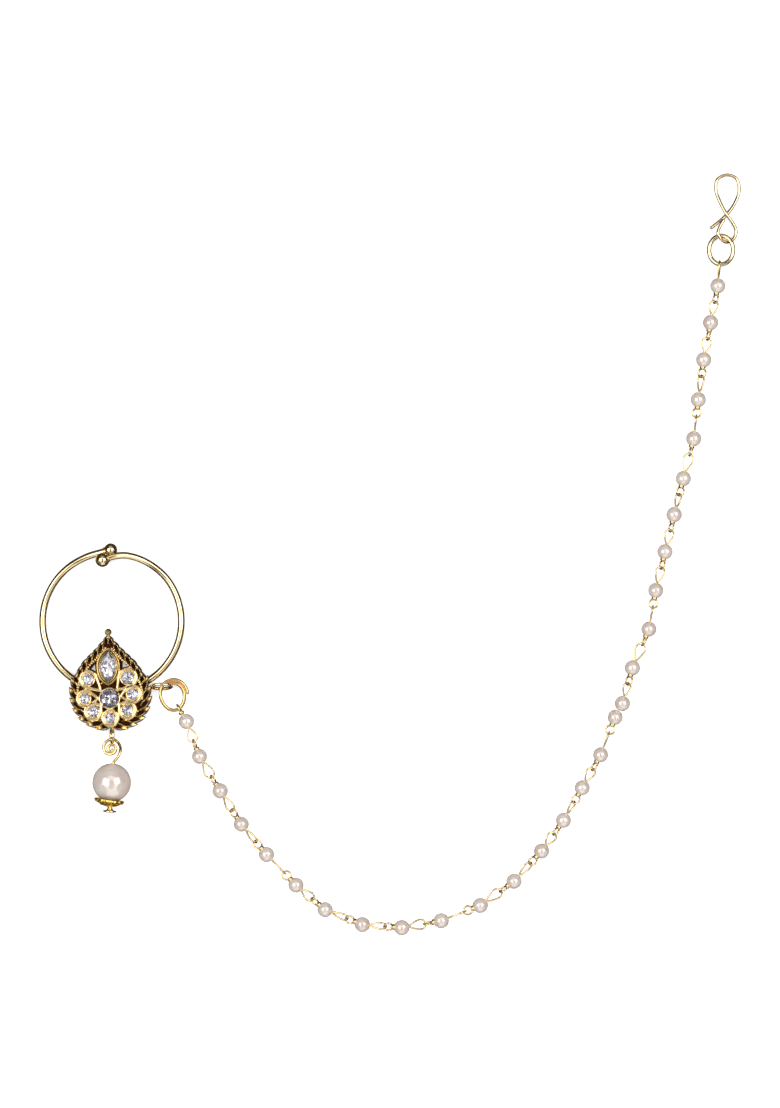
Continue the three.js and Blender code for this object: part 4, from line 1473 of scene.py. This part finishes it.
class NATH_OT_hook(bpy.types.Operator):
    """Bend the hair hook from one wire"""

    bl_idname = "nath.hook"
    bl_label = "Hair Hook"

    def execute(self, context):
        shell = Shell()
        path = smooth_path([at(*spot) for spot in HOOK_ROUTE], 220)
        shell.tube(path, context.scene.nath_sizes.hook_wire / 2, sides=20)
        settle(shell.piece("hair_hook_wire", plated("antique_gold")), "antique_gold", "hair_hook")
        return {"FINISHED"}


# ---- chain -----------------------------------------------------------------------------------------

BEAD_BORE = 0.8
THROAT = 1.86  # where an eye leaves its bead, from the bead's centre
SMALL_EYE = 1.12  # radius of a small eye, to the middle of its wire
SMALL_EYE_AT = 3.5  # its centre, from the bead's
LONG_EYE_HALF = 1.27
LONG_EYE_REACH = 4.2  # length of the long eye's pattern
PAIR = 17  # this bead and the next share one link
# How far the long eye beyond each bead is turned up on edge, in degrees.
EYE_TURNS = [
    10, 15, 35, 55, 85, 25, 50, 45, 5, 85, 15, 50, 20, 60, 20, 85, 0, 40, 10, 85, 25, 20, 50, 10, 85, 50, 15,
    25, 80,
]


def long_eye_pattern():
    """The long drop-shaped eye in its own plane, from the bead outward along +X."""
    half = [(-0.5, 0.13), (0.1, 0.17), (0.6, 0.42), (1.5, 0.86), (2.6, 1.2), (3.2, 1.22), (3.85, 0.82)]
    route = [(x * MM, y * MM * LONG_EYE_HALF / 1.22, 0) for x, y in half]
    route += [(LONG_EYE_REACH * MM, 0, 0)]
    route += [(x, -y, 0) for x, y, _ in reversed(route[:-1])]
    return path_curve("long_eye_pattern", smooth_path(route, 40))


def small_eye_pattern():
    """The small round eye, whose tail is wrapped round its own neck."""
    centre = SMALL_EYE_AT - THROAT
    route = [(-0.9, 0, 0), (-0.2, 0, 0)]
    for k in range(13):
        angle = math.radians(188 - 30.5 * k)
        lift = 0.26 * (k / 12) ** 2
        route.append((centre + SMALL_EYE * math.cos(angle), SMALL_EYE * math.sin(angle), lift))
    neck = centre - SMALL_EYE
    for k in range(15):
        angle = math.radians(60 + 50 * k)
        reach = neck - 0.05 - 0.42 * k / 14
        route.append((reach, -0.52 * math.cos(angle), 0.52 * math.sin(angle)))
    return path_curve("small_eye_pattern", smooth_path([Vector(p) * MM for p in route], 96))


def aim_of(axis, turn):
    """The turn that lays +X along an axis, with +Y flat and then tipped up on edge."""
    axis = axis.normalized()
    flat = Vector((-axis.y, axis.x, 0)).normalized()
    up = axis.cross(flat)
    wide = flat * math.cos(turn) + up * math.sin(turn)
    matrix = Matrix((axis, wide, axis.cross(wide))).transposed()
    return tuple(matrix.to_euler("XYZ"))


class NATH_OT_chain(bpy.types.Operator):
    """String the chain: its pearls and the wire link through each"""

    bl_idname = "nath.chain"
    bl_label = "Pearl Chain"

    def execute(self, context):
        beads = [node_centre(node) for node in BEAD_NODES]
        wire = context.scene.nath_sizes.link_wire
        self.add_pearls(beads)
        long_rows, small_rows = self.eye_rows(beads, wire)
        tree = wire_eye_tree()
        patterns = {"long": long_eye_pattern(), "small": small_eye_pattern()}
        for label, rows in (("long", long_rows), ("small", small_rows)):
            values = {"Bend": patterns[label], "Wire": wire, "Sides": 10, "Finish": plated("pale_gold")}
            host = point_cloud(f"{label}_eye_points", rows)
            piece = grown(f"chain_{label}_eyes", host, tree, values, 60)
            settle(piece, "pale_gold_wire", *LINK_NODES)
            bpy.data.objects.remove(patterns[label])
        return {"FINISHED"}

    def add_pearls(self, beads):
        low, high = node_box(BEAD_NODES[0])
        pattern = bored_pearl("bead_pattern", high.z - low.z, BEAD_BORE * MM, 40, 22, None)
        rows = []
        for i, spot in enumerate(beads):
            before = beads[max(i - 1, 0)] if i != PAIR - 1 else spot
            after = beads[min(i + 1, len(beads) - 1)] if i != PAIR else spot
            turn = (after - before).to_track_quat("Z", "Y").to_euler("XYZ")
            rows.append((spot, tuple(turn), (1, 1, 1)))
        pearls = set_out("chain_pearls", pattern, rows, 0.03, 4, pearl_coat("bead_nacre", 420.0), 60)
        settle(pearls, "pearl", *BEAD_NODES)

    def eye_rows(self, beads, wire):
        """Place, aim and stretch of every long eye and every small eye."""
        long_rows, small_rows = [], []
        last = len(beads) - 1
        for i, spot in enumerate(beads):
            if i != PAIR - 1:
                if i == last:
                    hold = end_ring_spot(math.radians(-98)) + Vector((0, 0, 0.2 * MM))
                    reach = (hold - spot).length + END_RING_WIRE / 2 * MM + wire / 2 + 0.05 * MM
                else:
                    hold = beads[i + 1]
                    reach = (hold - spot).length - (SMALL_EYE_AT + SMALL_EYE) * MM + wire + 0.06 * MM
                axis = (hold - spot).normalized()
                stretch = (reach - THROAT * MM) / (LONG_EYE_REACH * MM)
                aim = aim_of(axis, math.radians(EYE_TURNS[i]))
                long_rows.append((spot + axis * THROAT * MM, aim, (stretch, 1, 1)))
            if i != PAIR:
                if i == 0:
                    hold = chain_ring_spot(180) + Vector((0, 0, 0.22 * MM))
                    shift = (hold - spot).length - SMALL_EYE_AT * MM
                    turn = math.radians(90)
                else:
                    hold = beads[i - 1]
                    shift = 0.0
                    turn = -math.radians(EYE_TURNS[i - 1] + 90)
                axis = (hold - spot).normalized()
                start = spot + axis * (THROAT * MM + shift)
                small_rows.append((start, aim_of(axis, turn), (1, 1, 1)))
        return long_rows, small_rows


# ---- stage -----------------------------------------------------------------------------------------

LENS = 135.0
SENSOR = 36.0
VIEW_HEIGHT = 289.188 * MM  # height of the view at the surface
LOOK_HEIGHT = 2 * MM  # height of the plane that is framed
FLOOR_HALF = 1.6
FLOOR_TONE = (0.93, 0.93, 0.93, 1.0)
FLOOR_MIRRORED = (0.05, 0.036, 0.026, 1.0)  # the floor as metal and pearls reflect it
FLOOR_GLOW = 0.5
# Each lamp: its name, its place, its size and its power.
LAMPS = (
    ("lamp_left", Vector((-0.60, 0.08, 0.87)), 0.72, 5.2),
    ("lamp_right", Vector((0.58, 0.20, 0.87)), 0.72, 5.2),
    ("lamp_low", Vector((0.05, -1.0, 0.5)), 1.1, 3.4),
)
# How bright the room is in each direction, from level (0) to straight up (1).
SKY_LEVELS = (
    (0.0, 0.01), (0.24, 0.01), (0.32, 0.30), (0.46, 0.28), (0.54, 0.01),
    (0.66, 0.015), (0.73, 0.62), (0.90, 0.62), (0.96, 0.24), (1.0, 0.22),
)
SKY_TINT = (1.0, 0.985, 0.96)
SKY_STRENGTH = 1.9
SKY_BAYS = 3.0
SKY_TURN = math.radians(-270)
BETWEEN_BAYS = 0.12  # brightness between two bays, against a bay's
BAY_SOFTNESS = 0.35


class NATH_OT_stage(bpy.types.Operator):
    """Set the pale floor, three soft lamps, the room's light and the camera straight above"""

    bl_idname = "nath.stage"
    bl_label = "Stage"

    def execute(self, context):
        middle = (WHOLE_LOW + WHOLE_HIGH) / 2
        self.add_camera(context, Vector((middle.x, middle.y, LOOK_HEIGHT)))
        self.add_floor()
        for name, place, size, power in LAMPS:
            self.add_lamp(name, place, size, power)
        self.set_sky(context)
        context.scene.view_settings.view_transform = "Standard"
        return {"FINISHED"}

    def add_camera(self, context, target):
        camera = bpy.data.cameras.new("camera")
        camera.sensor_fit = "VERTICAL"
        camera.sensor_height = SENSOR
        camera.lens = LENS
        camera.clip_start = 0.01
        eye = scene_object("camera", camera)
        eye.location = target + Z_AXIS * VIEW_HEIGHT * LENS / SENSOR
        context.scene.camera = eye

    def add_floor(self):
        """A pale floor that shows dark in the metal, which keeps the gold's dark lines."""

        def dress(tree, shader):
            glossy = add_node(tree, "ShaderNodeLightPath").outputs["Is Glossy Ray"]
            tree.links.new(blended(tree, glossy, FLOOR_TONE, FLOOR_MIRRORED), shader.inputs["Base Color"])
            tree.links.new(ranged(tree, glossy, FLOOR_GLOW, 0.0), shader.inputs["Emission Strength"])
            shader.inputs["Emission Color"].default_value = (1.0, 1.0, 1.0, 1.0)
            shader.inputs["Roughness"].default_value = 0.9
            shader.inputs["Specular IOR Level"].default_value = 0.1

        mesh = bpy.data.meshes.new("floor")
        corners = ((-1, -1), (1, -1), (1, 1), (-1, 1))
        mesh.from_pydata([(x * FLOOR_HALF, y * FLOOR_HALF, 0) for x, y in corners], [], [(0, 1, 2, 3)])
        mesh.materials.append(material_once("pale_floor", dress))
        scene_object("floor", mesh)

    def add_lamp(self, name, place, size, power):
        lamp = bpy.data.lights.new(name, "AREA")
        lamp.shape = "SQUARE"
        lamp.size = size
        lamp.energy = power
        holder = scene_object(name, lamp)
        holder.location = place
        holder.rotation_euler = place.to_track_quat("Z", "Y").to_euler()

    def set_sky(self, context):
        """A soft room with bright bays round it, in a low and a high band, and a dimmer ceiling."""
        world = bpy.data.worlds.new("studio")
        world.use_nodes = True
        tree = world.node_tree
        place = add_node(tree, "ShaderNodeTexCoord").outputs["Generated"]
        parts = add_node(tree, "ShaderNodeSeparateXYZ", Vector=place).outputs
        ramp = add_node(tree, "ShaderNodeValToRGB", Fac=parts["Z"])
        tones = ramp.color_ramp
        tones.interpolation = "EASE"
        tones.elements[0].position = SKY_LEVELS[0][0]
        tones.elements[1].position = SKY_LEVELS[-1][0]
        for position, _ in SKY_LEVELS[1:-1]:
            tones.elements.new(position)
        for tone, (_, value) in zip(tones.elements, SKY_LEVELS):
            tone.color = solid([value * tint for tint in SKY_TINT])
        azimuth = reckoned(tree, "ARCTAN2", parts["Y"], parts["X"])
        wave = reckoned(tree, "COSINE", reckoned(tree, "MULTIPLY_ADD", azimuth, SKY_BAYS, SKY_TURN))
        bay = eased(tree, wave, BETWEEN_BAYS, 1.0, From_Min=-BAY_SOFTNESS, From_Max=BAY_SOFTNESS)
        sky = tree.nodes["Background"].inputs
        tree.links.new(scaled(tree, ramp.outputs["Color"], bay), sky["Color"])
        sky["Strength"].default_value = SKY_STRENGTH
        context.scene.world = world


# ---- add-on ----------------------------------------------------------------------------------------


class NATH_PT_panel(bpy.types.Panel):
    """Lists the steps that make the nath, with its sizes and finishes"""

    bl_label = "Nath Nose Ring"
    bl_idname = "NATH_PT_panel"
    bl_space_type = "VIEW_3D"
    bl_region_type = "UI"
    bl_category = "Nath"

    def draw(self, context):
        layout = self.layout
        for step in STEPS:
            layout.operator(step.bl_idname)
        for group in (context.scene.nath_sizes, context.scene.nath_finishes):
            box = layout.box()
            for key in group.bl_rna.properties.keys():
                if key not in {"rna_type", "name"}:
                    box.prop(group, key)


STEPS = (
    NATH_OT_stage,
    NATH_OT_hoop,
    NATH_OT_plaque,
    NATH_OT_stones,
    NATH_OT_drop,
    NATH_OT_rings,
    NATH_OT_chain,
    NATH_OT_hook,
)
CLASSES = (NathSizes, NathFinishes, *STEPS, NATH_PT_panel)


def register():
    for cls in CLASSES:
        bpy.utils.register_class(cls)
    bpy.types.Scene.nath_sizes = bpy.props.PointerProperty(type=NathSizes)
    bpy.types.Scene.nath_finishes = bpy.props.PointerProperty(type=NathFinishes)


def unregister():
    del bpy.types.Scene.nath_finishes
    del bpy.types.Scene.nath_sizes
    for cls in reversed(CLASSES):
        bpy.utils.unregister_class(cls)


def main():
    """Make the whole piece."""
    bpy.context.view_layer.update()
    register()
    bpy.ops.nath.stage()
    bpy.ops.nath.hoop()
    bpy.ops.nath.plaque()
    bpy.ops.nath.stones()
    bpy.ops.nath.drop()
    bpy.ops.nath.rings()
    bpy.ops.nath.chain()
    bpy.ops.nath.hook()


if __name__ == "__main__":
    main()
